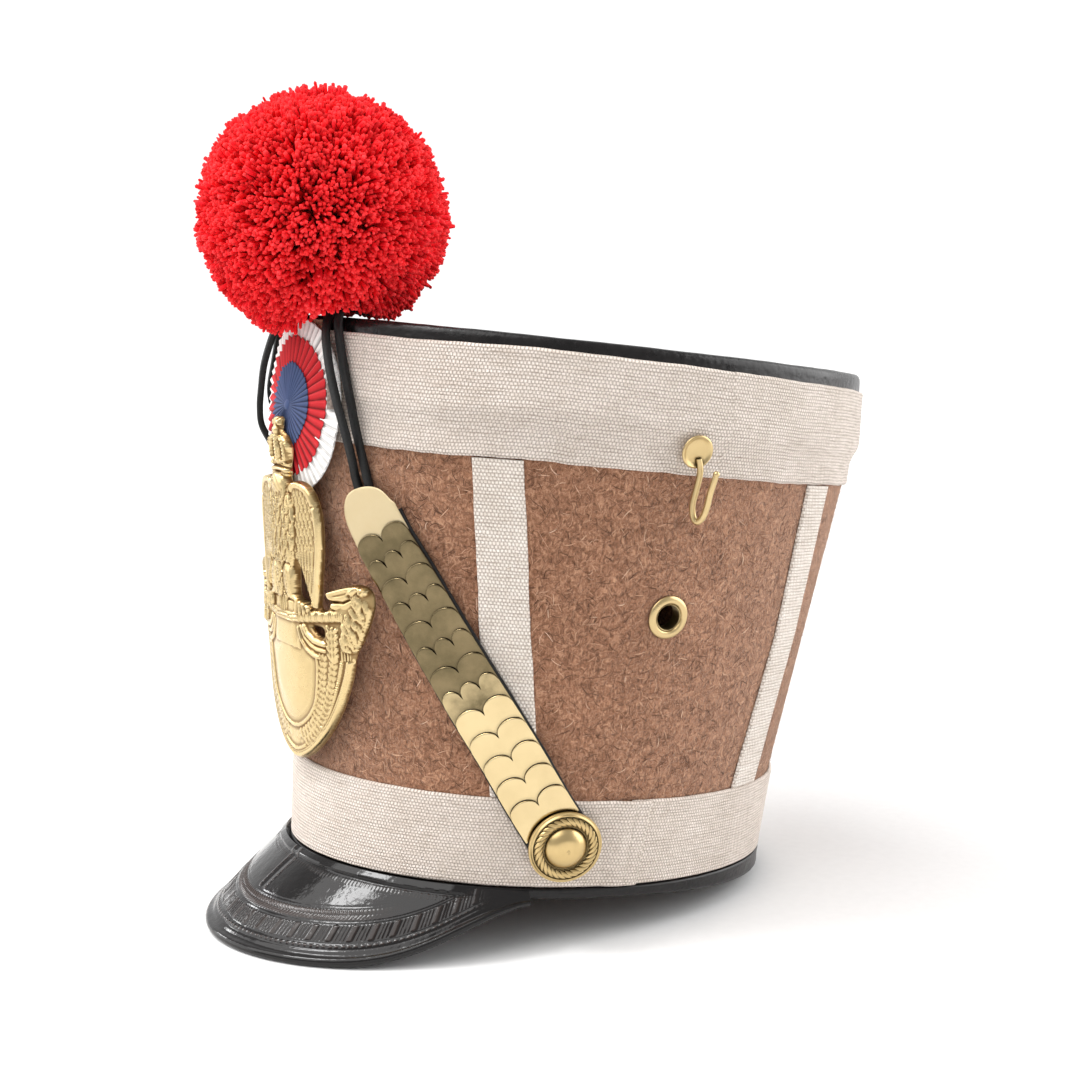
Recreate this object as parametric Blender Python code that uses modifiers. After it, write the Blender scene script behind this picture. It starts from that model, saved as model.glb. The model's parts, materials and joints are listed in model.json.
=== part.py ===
"""Shako hat, standing on the edge of its peak and on the back of its lower binding.

Lengths below are millimetres in the hat's own frame: z = 0 is the lower edge of the base band,
-Y is the front and +X is the wearer's left. An empty leans that frame back into the pose in
which the hat rests, so the objects' world coordinates have the surface at z = 0.
"""
import math

import bmesh
import bpy
from mathutils import Matrix, Vector

MM = 0.001

# ---------------------------------------------------------------- driving sizes
LEAN = math.radians(5.729)      # how far the resting hat leans back
REAR_Y, REAR_Z = 106.0, -10.0   # where the binding touches the surface
CENTRE_X, CENTRE_Y, DOWN = -2.04, -1.485, -0.03    # brings the middle of the whole hat's base to the origin

# outer face of the felt: z, half depth, half width, y of the middle
WALL = (
    (0.0, 104.8, 80.0, 0.0),
    (35.6, 105.8, 86.0, 0.0),
    (163.0, 123.6, 100.7, 1.6),
    (178.0, 122.6, 104.2, 2.0),
    (203.0, 121.5, 102.4, 2.4),
)
SIDE_LEAN = 2.0                 # the crown stands this far to the wearer's left of the base
CROWN_TILT = -0.029             # and is lower at the back
FRONT_DIP = 2.0                 # the bands' edges dip at the front
FELT = 3.0
GAP = 0.3
CANVAS = 1.2
BASE_BAND_TOP = 35.6
TOP_BAND_LOW, TOP_BAND_HIGH = 163.0, 203.0
SKIRT_LOW = 179.5               # lower edge of the crown's turned-down leather
SKIRT_OUT = 2.9
RIM_TOP = 208.4
RIM_LIFT = 2.0                  # rim higher at the back, lower at the front
STEPS = 48                      # sections round the hat

EYELET = (-4.59, 108.7)         # degrees, z
EYELET_HOLE_R = 5.6
HOOK = (-6.52, 173.6)
BOSS_R = 14.5
STEM = (2.0, -110.0)            # x, y of the pompom's pin
STEM_R = 2.0
POMPOM = (1.5, -119.3, 248.4)
POMPOM_R = 49.5

# chin strap's middle line, from the boss up to the tip of the end plate: degrees, z
STRAP_LINE = (
    (-20.07, 19.3), (-26.8, 35.2), (-33.2, 52.5), (-39.6, 69.2), (-45.2, 84.0),
    (-50.7, 98.8), (-56.2, 113.8), (-61.4, 126.9), (-64.9, 138.0), (-65.7, 146.7),
)
STRAP_OUT = 3.6                 # outer face of the strap's leather above the felt
STRAP_LEATHER = 1.5
STRAP_WIDTH = 24.9
SCALE_WIDTH = 23.6
SCALE_SHEET = 0.7
SCALES = 13
CUSPS = (135.6, 126.5, 117.4, 108.3, 99.0, 89.3, 79.6, 70.2, 60.8, 50.5, 40.2, 29.9, 19.6)   # from the boss, top one first
THREE_LOBED = (2, 4, 6, 8)

# laces: degrees, z, height of the middle above the felt
LACE_R = 1.7
LACE_A = (
    (-68.0, 142.5, 2.1), (-69.5, 148.5, 2.1), (-69.1, 155.4, 5.0), (-68.6, 162.1, 8.5),
    (-69.95, 168.7, 9.9), (-72.2, 176.3, 10.5), (-74.65, 186.7, 10.9), (-77.6, 198.0, 9.6),
    (-79.1, 204.0, 7.4), (-80.0, 208.0, 4.9), (-80.7, 210.1, 1.8), (-81.2, 210.6, -1.6),
    (-81.8, 210.4, -5.0),
)
LACE_B = (
    (-65.3, 142.5, 2.1), (-66.55, 149.1, 2.1), (-67.3, 155.7, 2.9), (-67.8, 162.4, 4.3),
    (-69.4, 169.0, 4.8), (-70.5, 176.7, 6.8), (-73.0, 187.1, 6.8), (-75.4, 198.4, 6.8),
    (-76.6, 204.0, 6.2), (-77.3, 208.0, 4.6), (-77.8, 210.1, 1.8), (-78.3, 210.6, -1.6),
    (-79.0, 210.4, -5.0),
)
LACE_TOP_Z = 210.4
LACE_A_TOP = ((10.0, -104.0), (2.0, -101.5))
LACE_B_TOP = ((13.5, -99.0), (2.0, -95.5))

# peak's outer edge: a superellipse whose ends rise off the surface
PEAK_W, PEAK_L, PEAK_Y = 75.5, 94.2, -45.8
PEAK_N, PEAK_RISE_N, PEAK_END_Z = 1.95, 10.0, -6.0
PEAK_START = -25.4              # degrees where it leaves the hat
PEAK_THICK, BEAD_R = 2.2, 1.9

# cockade: bent round the front of the hat
COCKADE_U, COCKADE_Z = 1.0, 172.0
COCKADE_R = {"right": 31.0, "left": 27.5, "height": 33.0}

# front plate, half outline from the cross down to the lower tip: u round the hat, z
PLATE_HALF = (
    (3.4, 167.6), (3.0, 165.6), (3.2, 164.2), (2.4, 162.8), (5.2, 161.6), (7.4, 159.6),
    (8.4, 156.8), (7.8, 153.6), (6.8, 151.0), (6.0, 148.9), (6.8, 147.7), (6.0, 145.9),
    (6.0, 144.4), (7.4, 143.3), (9.4, 144.5), (12.4, 145.0), (15.6, 144.7), (18.4, 143.6),
    (20.8, 141.3), (22.4, 138.4), (23.6, 134.6), (24.2, 130.4), (24.3, 125.0), (24.0, 119.8),
    (23.4, 114.6), (22.7, 109.3), (22.2, 103.8), (21.6, 98.4), (25.7, 98.6), (27.0, 101.0),
    (27.7, 102.4), (26.6, 103.4), (26.0, 104.6), (26.4, 106.0), (29.5, 107.3), (33.5, 108.8),
    (37.2, 110.0), (41.2, 110.7), (44.4, 109.8), (46.0, 107.8), (46.3, 104.4), (45.6, 100.6),
    (44.4, 96.8), (42.6, 92.8), (40.8, 88.8), (38.8, 85.8), (37.6, 83.4), (36.9, 80.0),
    (35.8, 75.4), (34.2, 71.0), (32.2, 66.2), (29.6, 61.0), (26.4, 55.8), (22.2, 50.4),
    (17.4, 45.6), (12.6, 41.8), (8.4, 39.4), (4.2, 37.7),
)
PLATE_TIP_Z = 36.9
PLATE_HOLES = (
    ((9.2, 101.6), (9.1, 106.2), (9.4, 112.6), (10.2, 113.4), (11.4, 110.0), (12.2, 106.8),
     (14.0, 103.0), (16.8, 98.8), (13.0, 100.6)),
    ((16.2, 91.7), (23.8, 91.9), (23.6, 87.7), (20.4, 88.2), (17.8, 89.8)),
)
# back of the plate above the felt: z, height
PLATE_BACK = (
    (36.0, 4.6), (60.0, 6.2), (85.0, 7.2), (100.0, 7.0), (120.0, 7.0), (138.0, 7.2),
    (155.0, 7.7), (171.0, 9.4),
)
PLATE_SHEET = 1.5

# canvas strips' middle line: z, degrees
STRIPS = {
    "front": ((36.0, -31.7), (98.0, -36.6), (163.0, -40.5)),
    "rear": ((36.0, 29.5), (100.0, 32.5), (163.0, 30.5)),
}
STRIP_WIDTH = 19.0
STRIP_THICK = 1.0
SEAM = -1.1                     # degrees where the base band's upper end stops
SEAM_LAP = 4.3

# ---------------------------------------------------------------- a clean file
for old in list(bpy.data.objects):
    bpy.data.objects.remove(old, do_unlink=True)

scene = bpy.context.scene
parts = bpy.data.collections.new("shako_hat")
cutters = bpy.data.collections.new("cutters")
scene.collection.children.link(parts)
scene.collection.children.link(cutters)

rest = bpy.data.objects.new("rest_pose", None)
parts.objects.link(rest)
rest.rotation_euler = (-LEAN, 0.0, 0.0)
rest.location = (
    CENTRE_X * MM,
    CENTRE_Y * MM,
    (REAR_Y * math.sin(LEAN) - REAR_Z * math.cos(LEAN) + DOWN) * MM,
)


def finish(name, colour, roughness, metallic=0.0):
    material = bpy.data.materials.new(name)
    material.use_nodes = True
    shader = material.node_tree.nodes["Principled BSDF"]
    shader.inputs["Base Color"].default_value = (*colour, 1.0)
    shader.inputs["Roughness"].default_value = roughness
    shader.inputs["Metallic"].default_value = metallic
    material.diffuse_color = (*colour, 1.0)
    return material


BROWN_FELT = (0.35, 0.17, 0.10)
CREAM = (0.80, 0.74, 0.66)
BLACK = (0.012, 0.012, 0.013)
GOLD = (0.72, 0.50, 0.20)
RED = (0.75, 0.03, 0.015)


# ---------------------------------------------------------------- small maths
def smooth(t):
    t = min(1.0, max(0.0, t))
    return t * t * (3.0 - 2.0 * t)


def along(rows, x):
    """Straight-line reading of a table whose first column rises."""
    if x <= rows[0][0]:
        return rows[0][1:]
    for low, high in zip(rows, rows[1:]):
        if x <= high[0]:
            t = (x - low[0]) / (high[0] - low[0])
            return tuple(a + (b - a) * t for a, b in zip(low[1:], high[1:]))
    return rows[-1][1:]


def lean_at(z):
    return min(1.3, max(0.0, (z - WALL[1][0]) / (WALL[2][0] - WALL[1][0])))


def skin(degrees, z, out=0.0, side=1):
    """A point that stands `out` off the felt. side = -1 gives its mirror on the wearer's right."""
    depth, width, middle = along(WALL, z)
    angle, t = math.radians(degrees), lean_at(z)
    y = middle + (depth + out) * math.sin(angle)
    x = SIDE_LEAN * t + side * (width + out) * math.cos(angle)
    return Vector((x, y, z + CROWN_TILT * t * y))


def skin_normal(degrees, z, side=1):
    across = skin(degrees + 0.5, z, 0, side) - skin(degrees - 0.5, z, 0, side)
    up = skin(degrees, z + 1.0, 0, side) - skin(degrees, z - 1.0, 0, side)
    normal = across.cross(up) * side
    return normal.normalized()


def dip(degrees):
    return FRONT_DIP * smooth((-math.sin(math.radians(degrees)) - 0.49) / 0.45)


def rim_z(degrees):
    return RIM_TOP + RIM_LIFT * math.sin(math.radians(degrees))


def front_degrees(u, z):
    """The angle that lies u round the hat from the middle of its front."""
    depth, width, _ = along(WALL, z)
    r = u / width
    k = (depth / width) ** 2 - 1.0
    return -90.0 + math.degrees(r - k * r ** 3 / 6.0)


def curve_through(rows, count):
    """Evenly read Catmull-Rom curve through rows of equal length."""
    ends = [[2 * a - b for a, b in zip(rows[0], rows[1])]]
    tail = [[2 * a - b for a, b in zip(rows[-1], rows[-2])]]
    pts = ends + [list(r) for r in rows] + tail
    out = []
    for i in range(count):
        f = i / (count - 1) * (len(rows) - 1)
        k = min(int(f), len(rows) - 2)
        t = f - k
        p0, p1, p2, p3 = pts[k:k + 4]
        out.append([
            0.5 * (2 * b + (c - a) * t + (2 * a - 5 * b + 4 * c - d) * t * t
                   + (3 * b - a - 3 * c + d) * t ** 3)
            for a, b, c, d in zip(p0, p1, p2, p3)
        ])
    return out


# ---------------------------------------------------------------- building tools
def put(name, mesh, material, collection=None):
    obj = bpy.data.objects.new(name, mesh)
    (collection or parts).objects.link(obj)
    obj.parent = rest
    if material is not None:
        mesh.materials.clear()
        mesh.materials.append(material)
        mesh.shade_smooth()
        mesh.set_sharp_from_angle(angle=math.radians(35))
    return obj


def mesh_of(name, points, faces, closed=True):
    mesh = bpy.data.meshes.new(name)
    mesh.from_pydata([tuple(Vector(p) * MM) for p in points], [], faces)
    shape = bmesh.new()
    shape.from_mesh(mesh)
    bmesh.ops.remove_doubles(shape, verts=shape.verts, dist=2e-7)
    if closed:
        bmesh.ops.recalc_face_normals(shape, faces=shape.faces)
    shape.to_mesh(mesh)
    shape.free()
    return mesh


def loft(name, sections, material, round_trip=True):
    """A solid through closed sections of equal count: a ring, or a bar with flat ends."""
    m = len(sections[0])
    points = [p for section in sections for p in section]
    faces = []
    for i in range(len(sections) - (0 if round_trip else 1)):
        a, b = i * m, (i + 1) % len(sections) * m
        for k in range(m):
            j = (k + 1) % m
            faces.append((a + k, a + j, b + j, b + k))
    if not round_trip:
        faces.append(tuple(range(m - 1, -1, -1)))
        faces.append(tuple(range((len(sections) - 1) * m, len(sections) * m)))
    return put(name, mesh_of(name, points, faces), material)


def sheet(name, rows, thickness, material, outward):
    """An open surface through rows of points, thickened along `outward` (a rough direction)."""
    n = len(rows[0])
    points = [p for row in rows for p in row]
    faces = []
    for i in range(len(rows) - 1):
        for k in range(n - 1):
            a, b = i * n + k, (i + 1) * n + k
            faces.append((a, a + 1, b + 1, b))
    p, q, r = (Vector(points[i]) for i in faces[len(faces) // 2][:3])
    if (q - p).cross(r - q).dot(outward) < 0:
        faces = [tuple(reversed(f)) for f in faces]
    obj = put(name, mesh_of(name, points, faces, closed=False), material)
    shell = obj.modifiers.new("thickness", "SOLIDIFY")
    shell.thickness = thickness * MM
    shell.offset = 1.0
    shell.use_rim = True
    return obj


def turned(name, profile, segments, material, collection=None):
    """A profile (radius, height), read down its outer side from the top, turned about Z."""
    mesh = bpy.data.meshes.new(name)
    mesh.from_pydata([(r * MM, 0.0, h * MM) for r, h in profile], [],
                     [(i, i + 1) for i in range(len(profile) - 1)])
    obj = put(name, mesh, material, collection)
    screw = obj.modifiers.new("turn", "SCREW")
    screw.steps = screw.render_steps = segments
    screw.use_merge_vertices = True
    screw.merge_threshold = 0.000005
    screw.use_smooth_shade = True
    screw.use_normal_calculate = True
    return obj


def cylinder(name, radius, low, high, segments, collection=cutters, material=None):
    mesh = bpy.data.meshes.new(name)
    shape = bmesh.new()
    bmesh.ops.create_cone(shape, cap_ends=True, segments=segments, radius1=radius * MM,
                          radius2=radius * MM, depth=(high - low) * MM,
                          matrix=Matrix.Translation((0, 0, (low + high) / 2 * MM)))
    shape.to_mesh(mesh)
    shape.free()
    obj = put(name, mesh, material, collection)
    return obj


def stand_on_skin(obj, degrees, z, out, side=1):
    """Put an object's origin on the hat with its +Z pointing away from the felt."""
    normal = skin_normal(degrees, z, side)
    across = Vector((0, 0, 1)).cross(normal).normalized()
    up = normal.cross(across)
    spot = skin(degrees, z, 0, side) + normal * out
    turn = Matrix((across, up, normal)).transposed().to_4x4()
    obj.matrix_local = Matrix.Translation(spot * MM) @ turn


def as_guide(obj):
    obj.hide_render = True
    obj.display_type = "WIRE"


def boolean(obj, cutter, operation):
    as_guide(cutter)
    change = obj.modifiers.new(operation.lower(), "BOOLEAN")
    change.operation = operation
    change.solver = "EXACT"
    change.object = cutter


def as_mesh(curve_object, collection, material):
    """Swap a curve for its own mesh, so that it can be cut or joined."""
    bpy.context.view_layer.update()
    graph = bpy.context.evaluated_depsgraph_get()
    mesh = bpy.data.meshes.new_from_object(curve_object.evaluated_get(graph))
    shape = bmesh.new()
    shape.from_mesh(mesh)
    bmesh.ops.remove_doubles(shape, verts=shape.verts, dist=1e-6)
    bmesh.ops.recalc_face_normals(shape, faces=shape.faces)
    shape.to_mesh(mesh)
    shape.free()
    name, place = curve_object.name, curve_object.matrix_world.copy()
    bpy.data.objects.remove(curve_object, do_unlink=True)
    obj = put(name, mesh, material, collection)
    bpy.context.view_layer.update()
    obj.matrix_world = place
    return obj


def tube(name, points, radius, material, resolution=2, collection=None):
    data = bpy.data.curves.new(name, "CURVE")
    data.dimensions = "3D"
    line = data.splines.new("POLY")
    line.points.add(len(points) - 1)
    for spot, point in zip(line.points, points):
        spot.co = (*(Vector(point) * MM), 1.0)
    data.bevel_depth = radius * MM
    data.bevel_resolution = resolution
    data.use_fill_caps = True
    if material is not None:
        data.materials.append(material)
    obj = bpy.data.objects.new(name, data)
    (collection or parts).objects.link(obj)
    obj.parent = rest
    return obj


ANGLES = [360.0 * i / STEPS for i in range(STEPS)]

# ---------------------------------------------------------------- felt body
felt = finish("felt", BROWN_FELT, 0.95)
sections = []
for a in ANGLES:
    heights = [0.0, 35.6, 163.0, 178.0, rim_z(a) - 4.8]
    outer = [skin(a, z, 0.0) for z in heights]
    inner = [skin(a, z, -FELT) for z in reversed(heights)]
    sections.append(outer + inner)
felt_body = loft("felt_body", sections, felt)
for side, word in ((1, "left"), (-1, "right")):
    hole = cylinder(f"eyelet_hole_{word}", EYELET_HOLE_R, -12, 12, 28)
    stand_on_skin(hole, *EYELET, -1.5, side)
    boolean(felt_body, hole, "DIFFERENCE")

# ---------------------------------------------------------------- leather crown
crown_leather = finish("crown_leather", BLACK, 0.35)
# rim section, from the top's inner edge over the rim and down the skirt: height off the felt,
# z below the rim's top (the skirt's lower edge is at its own z)
RIM = ((-50.0, -2.4), (-5.0, -1.6), (-1.8, -0.4), (0.3, 0.0), (1.9, -0.7), (2.7, -2.4),
       (SKIRT_OUT, -5.0))
UNDER = ((0.3, -3.3), (-5.0, -4.6), (-50.0, -5.4))
points, faces = [], []
for a in ANGLES:
    top = rim_z(a)
    points += [skin(a, top + dz, out) for out, dz in RIM]
    points += [skin(a, SKIRT_LOW, SKIRT_OUT), skin(a, SKIRT_LOW, GAP)]
    points += [skin(a, top + dz, out) for out, dz in UNDER]
m = len(RIM) + 2 + len(UNDER)
for i in range(STEPS):
    p, q = i * m, (i + 1) % STEPS * m
    faces += [(p + k, q + k, q + k + 1, p + k + 1) for k in range(m - 1)]
high_middle = len(points)
points += [skin(0, RIM_TOP - 2.6, 0), skin(0, RIM_TOP - 5.6, 0)]
for k in (0, 1):
    points[high_middle + k] = Vector((SIDE_LEAN * 1.3, 2.4, points[high_middle + k].z))
for i in range(STEPS):
    p, q = i * m, (i + 1) % STEPS * m
    faces += [(high_middle, q, p), (high_middle + 1, p + m - 1, q + m - 1)]
crown_top = put("crown_top", mesh_of("crown_top", points, faces), crown_leather)
stem_hole = cylinder("stem_hole", STEM_R + 0.4, 190, 230, 20)
stem_hole.location = (STEM[0] * MM, STEM[1] * MM, 0)
boolean(crown_top, stem_hole, "DIFFERENCE")

# ---------------------------------------------------------------- canvas bands and strips
canvas = finish("canvas", CREAM, 0.9)
sections = []
for a in ANGLES:
    low, high = TOP_BAND_LOW - dip(a), TOP_BAND_HIGH - dip(a)
    path = ((0.65, low), (0.45, 172.0), (SKIRT_OUT + GAP, 179.0), (SKIRT_OUT + GAP, high))
    sections.append([skin(a, z, out + CANVAS) for out, z in path]
                    + [skin(a, z, out) for out, z in reversed(path)])
loft("top_band", sections, finish("canvas_top", CREAM, 0.9))

start, end = SEAM - SEAM_LAP, SEAM + 360.0
stops = [start, SEAM + 360 - 9.5, SEAM + 360 - SEAM_LAP - 0.4, end]
stops = sorted(stops + [a for a in ANGLES if a < end - 10.0] + [end - 7.5])
sections = []
for a in stops:
    rise = smooth((a - (end - 9.5)) / (9.5 - SEAM_LAP - 0.4))
    near = GAP + rise * (CANVAS + GAP)
    top = BASE_BAND_TOP - 0.22 * dip(a)
    sections.append([skin(a, 0.2, near), skin(a, 0.2, near + CANVAS),
                     skin(a, top, near + CANVAS), skin(a, top, near)])
loft("base_band", sections, finish("canvas_base", CREAM, 0.9), round_trip=False)

for side, word in ((1, "left"), (-1, "right")):
    for place, line in STRIPS.items():
        rows = []
        for i in range(5):
            t = i / 4
            z_low, z_high = BASE_BAND_TOP + 0.35, TOP_BAND_LOW - 0.35
            z = z_low + (z_high - z_low) * t
            middle = along(line, z)[0]
            step = (skin(middle + 1, z) - skin(middle - 1, z)).length / 2
            row = []
            for k in range(4):
                a = middle + (k / 3 - 0.5) * STRIP_WIDTH / step
                row.append(skin(a, z - t * dip(a), GAP + 0.05, side))
            rows.append(row)
        sheet(f"strip_{word}_{place}", rows, STRIP_THICK, canvas,
              skin_normal(line[0][1], 100, side))

# ---------------------------------------------------------------- leather binding below
binding = finish("binding_leather", BLACK, 0.4)
sections = []
for a in ANGLES:
    low = -4.6 + (REAR_Z + 4.6) * max(0.0, math.sin(math.radians(a)))
    path = ((-FELT, -0.3), (1.2, -0.3), (1.6, -0.9), (1.6, low + 1.6), (0.7, low),
            (-2.0, low), (-FELT, low + 1.2))
    sections.append([skin(a, z, out) for out, z in path])
loft("base_binding", sections, binding)

# ---------------------------------------------------------------- peak
peak_leather = finish("peak_leather", BLACK, 0.15)


def surface_z(y):
    """Height, in the hat's frame, of the surface that it rests on."""
    return REAR_Z - math.tan(LEAN) * (REAR_Y - y)


def peak_edge(s):
    """Middle of the edge bead, s from 0 at the wearer's left end to 1 at the right one."""
    t = math.pi * s
    c, n = math.cos(t), 2.0 / PEAK_N
    x = PEAK_W * math.copysign(abs(c) ** n, c)
    y = PEAK_Y - PEAK_L * abs(math.sin(t)) ** n
    rise = (PEAK_END_Z - surface_z(PEAK_Y)) * abs(c) ** PEAK_RISE_N
    return Vector((x, y, surface_z(y) + rise))


sections = []
PEAK_STEPS = 44
for i in range(PEAK_STEPS + 1):
    s = i / PEAK_STEPS
    radius = BEAD_R * (0.55 + 0.45 * smooth(math.sin(math.pi * s) / 0.35))
    inner = skin(PEAK_START - (180 + 2 * PEAK_START) * s, -1.2, 2.1)
    outer = peak_edge(s) + Vector((0, 0, radius / math.cos(LEAN)))
    flat = Vector((outer.x - inner.x, outer.y - inner.y, 0))
    least = 1.6 * radius + 0.7
    if flat.length < least:
        way = Vector((inner.x, inner.y, 0)).normalized()
        outer += way * (least - flat.length)
    run = (outer - inner)
    sideways = Vector((inner.y, -inner.x, 0)).normalized()
    up = sideways.cross(run).normalized()
    if up.z < 0:
        up = -up
    half = PEAK_THICK / 2 * min(1.0, 0.5 + run.length / 30)
    face = run.normalized()
    crown = 1.0 * min(1.0, run.length / 40)
    stop = max(0.05, 1.0 - 1.2 * radius / run.length)
    top = [inner + run * (stop * u) + (up if u else Vector((0, 0, 1)))
           * (half + crown * 4 * u * (1 - u) * 0.8) for u in (0.0, 0.33, 0.67, 1.0)]
    low = [inner + run * (stop * u) + (up if u else Vector((0, 0, 1)))
           * (-half + crown * 4 * u * (1 - u) * 0.8) for u in (1.0, 0.5, 0.0)]
    bead = [outer + (face * math.cos(b) + up * math.sin(b)) * radius
            for b in (math.radians(d) for d in (120, 80, 40, 0, -40, -80, -120))]
    sections.append(top + bead + low)
loft("visor", sections, peak_leather, round_trip=False)

# ---------------------------------------------------------------- cockade and its pocket
SPOKES = 36
RINGS = (1.0, 0.8, 0.5, 0.0)


def cockade_point(angle, part, front):
    c, s = math.cos(angle), math.sin(angle)
    reach = COCKADE_R["right"] if c > 0 else COCKADE_R["left"]
    u = COCKADE_U + reach * c * part
    z = COCKADE_Z + COCKADE_R["height"] * s * part
    back = 4.1 + 2.75 * min(1.0, max(0.0, (z - 138.0) / 42.0))
    thick = (1.3 + 1.3 * (1 - part)) if front else 0.0
    return skin(front_degrees(u, z), z, back + thick)


points, faces = [], []
for front in (True, False):
    for part in RINGS[:-1]:
        points += [cockade_point(math.tau * i / SPOKES, part, front) for i in range(SPOKES)]
points += [cockade_point(0, 0.0, True), cockade_point(0, 0.0, False)]
rings = len(RINGS) - 1
for i in range(SPOKES):
    j = (i + 1) % SPOKES
    for r in range(rings - 1):
        f, b = r * SPOKES, (rings + r) * SPOKES
        faces.append((f + i, f + j, f + SPOKES + j, f + SPOKES + i))
        faces.append((b + j, b + i, b + SPOKES + i, b + SPOKES + j))
    faces.append(((rings - 1) * SPOKES + i, (rings - 1) * SPOKES + j, 2 * rings * SPOKES))
    faces.append(((2 * rings - 1) * SPOKES + j, (2 * rings - 1) * SPOKES + i,
                  2 * rings * SPOKES + 1))
    faces.append((j, i, rings * SPOKES + i, rings * SPOKES + j))
put("cockade", mesh_of("cockade", points, faces), finish("cockade_cloth", (0.5, 0.05, 0.05), 0.7))

rows = []
for z, edge in ((184.0, -77.3), (194.0, -79.1), (204.5, -80.9)):
    rows.append([skin(edge + (-180 - 2 * edge) * k / 6, z, 4.8) for k in range(7)])
sheet("pompom_pocket", rows, 1.5, finish("pocket_felt", BROWN_FELT, 0.95),
      skin_normal(-90, 194))

# ---------------------------------------------------------------- front plate
def plate_outline():
    right = [*PLATE_HALF]
    left = [(-u, z) for u, z in reversed(PLATE_HALF)]
    loops = [right + [(0.0, PLATE_TIP_Z)] + left]
    for hole in PLATE_HOLES:
        loops.append(list(hole))
        loops.append([(-u, z) for u, z in reversed(hole)])
    return loops


def relief(u, z):
    """How much thicker the bird's body and the crown are than the sheet."""
    body = smooth((13.0 - abs(u)) / 7.0) * smooth((z - 96.0) / 8.0) * smooth((152.0 - z) / 10.0)
    crown_bulge = smooth((10.5 - abs(u)) / 6.0) * smooth((z - 148.0) / 4.0) \
        * smooth((168.0 - z) / 6.0)
    lion = smooth((47.5 - abs(u)) / 5.0) * smooth((abs(u) - 24.0) / 5.0) \
        * smooth((z - 83.0) / 6.0) * smooth((110.5 - z) / 5.0)
    return 2.2 * body + 1.3 * crown_bulge + 2.0 * lion


data = bpy.data.curves.new("plate", "CURVE")
data.dimensions = "2D"
data.fill_mode = "BOTH"
data.extrude = PLATE_SHEET / 2 * MM
for loop in plate_outline():
    line = data.splines.new("POLY")
    line.points.add(len(loop) - 1)
    line.use_cyclic_u = True
    for spot, (u, z) in zip(line.points, loop):
        spot.co = (u * MM, z * MM, 0.0, 1.0)
plate = bpy.data.objects.new("plate", data)
parts.objects.link(plate)
plate = as_mesh(plate, parts, finish("plate_brass", GOLD, 0.25, 1.0))
shape = bmesh.new()
shape.from_mesh(plate.data)
cuts = [((u * MM, 0, 0), (1, 0, 0)) for u in range(-40, 41, 8)]
cuts += [((0, z * MM, 0), (0, 1, 0)) for z in (60, 84, 104, 128, 148, 160)]
for spot, way in cuts:
    bmesh.ops.bisect_plane(shape, geom=shape.verts[:] + shape.edges[:] + shape.faces[:],
                           plane_co=spot, plane_no=way, dist=2e-6)
bmesh.ops.triangulate(shape, faces=shape.faces)
for v in shape.verts:
    u, z, front = v.co.x / MM, v.co.y / MM, v.co.z > 0
    out = along(PLATE_BACK, z)[0] + ((PLATE_SHEET + relief(u, z)) if front else 0.0)
    v.co = skin(front_degrees(u, z), z, out) * MM
bmesh.ops.recalc_face_normals(shape, faces=shape.faces)
shape.to_mesh(plate.data)
shape.free()
plate.matrix_basis = Matrix.Identity(4)

# ---------------------------------------------------------------- chin strap
strap_rows = curve_through(STRAP_LINE, 121)


def strap_frames(side):
    spots = [skin(a, z, STRAP_OUT, side) for a, z in strap_rows]
    reach, frames = 0.0, []
    for i, (a, z) in enumerate(strap_rows):
        if i:
            reach += (spots[i] - spots[i - 1]).length
        way = spots[min(i + 1, 120)] - spots[max(i - 1, 0)]
        normal = skin_normal(a, z, side)
        way = (way - normal * way.dot(normal)).normalized()
        frames.append((reach, spots[i], way, normal, way.cross(normal) * side))
    return frames


STRAP_FRAMES = {side: strap_frames(side) for side in (1, -1)}
STRAP_LENGTH = STRAP_FRAMES[1][-1][0]


def on_strap(s, w, h, side):
    """A point s up the strap from the boss, w across it (towards the back), h above its leather."""
    frames = STRAP_FRAMES[side]
    s_on = min(max(s, 0.0), STRAP_LENGTH)
    k = 0
    while k < len(frames) - 2 and frames[k + 1][0] < s_on:
        k += 1
    low, high = frames[k], frames[k + 1]
    t = (s_on - low[0]) / (high[0] - low[0])
    spot, way, normal, across = (low[i].lerp(high[i], t) for i in (1, 2, 3, 4))
    return spot + way * (s - s_on) + across * w + normal * h


def first_or_last(k):
    return CUSPS[k - 1]


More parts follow.
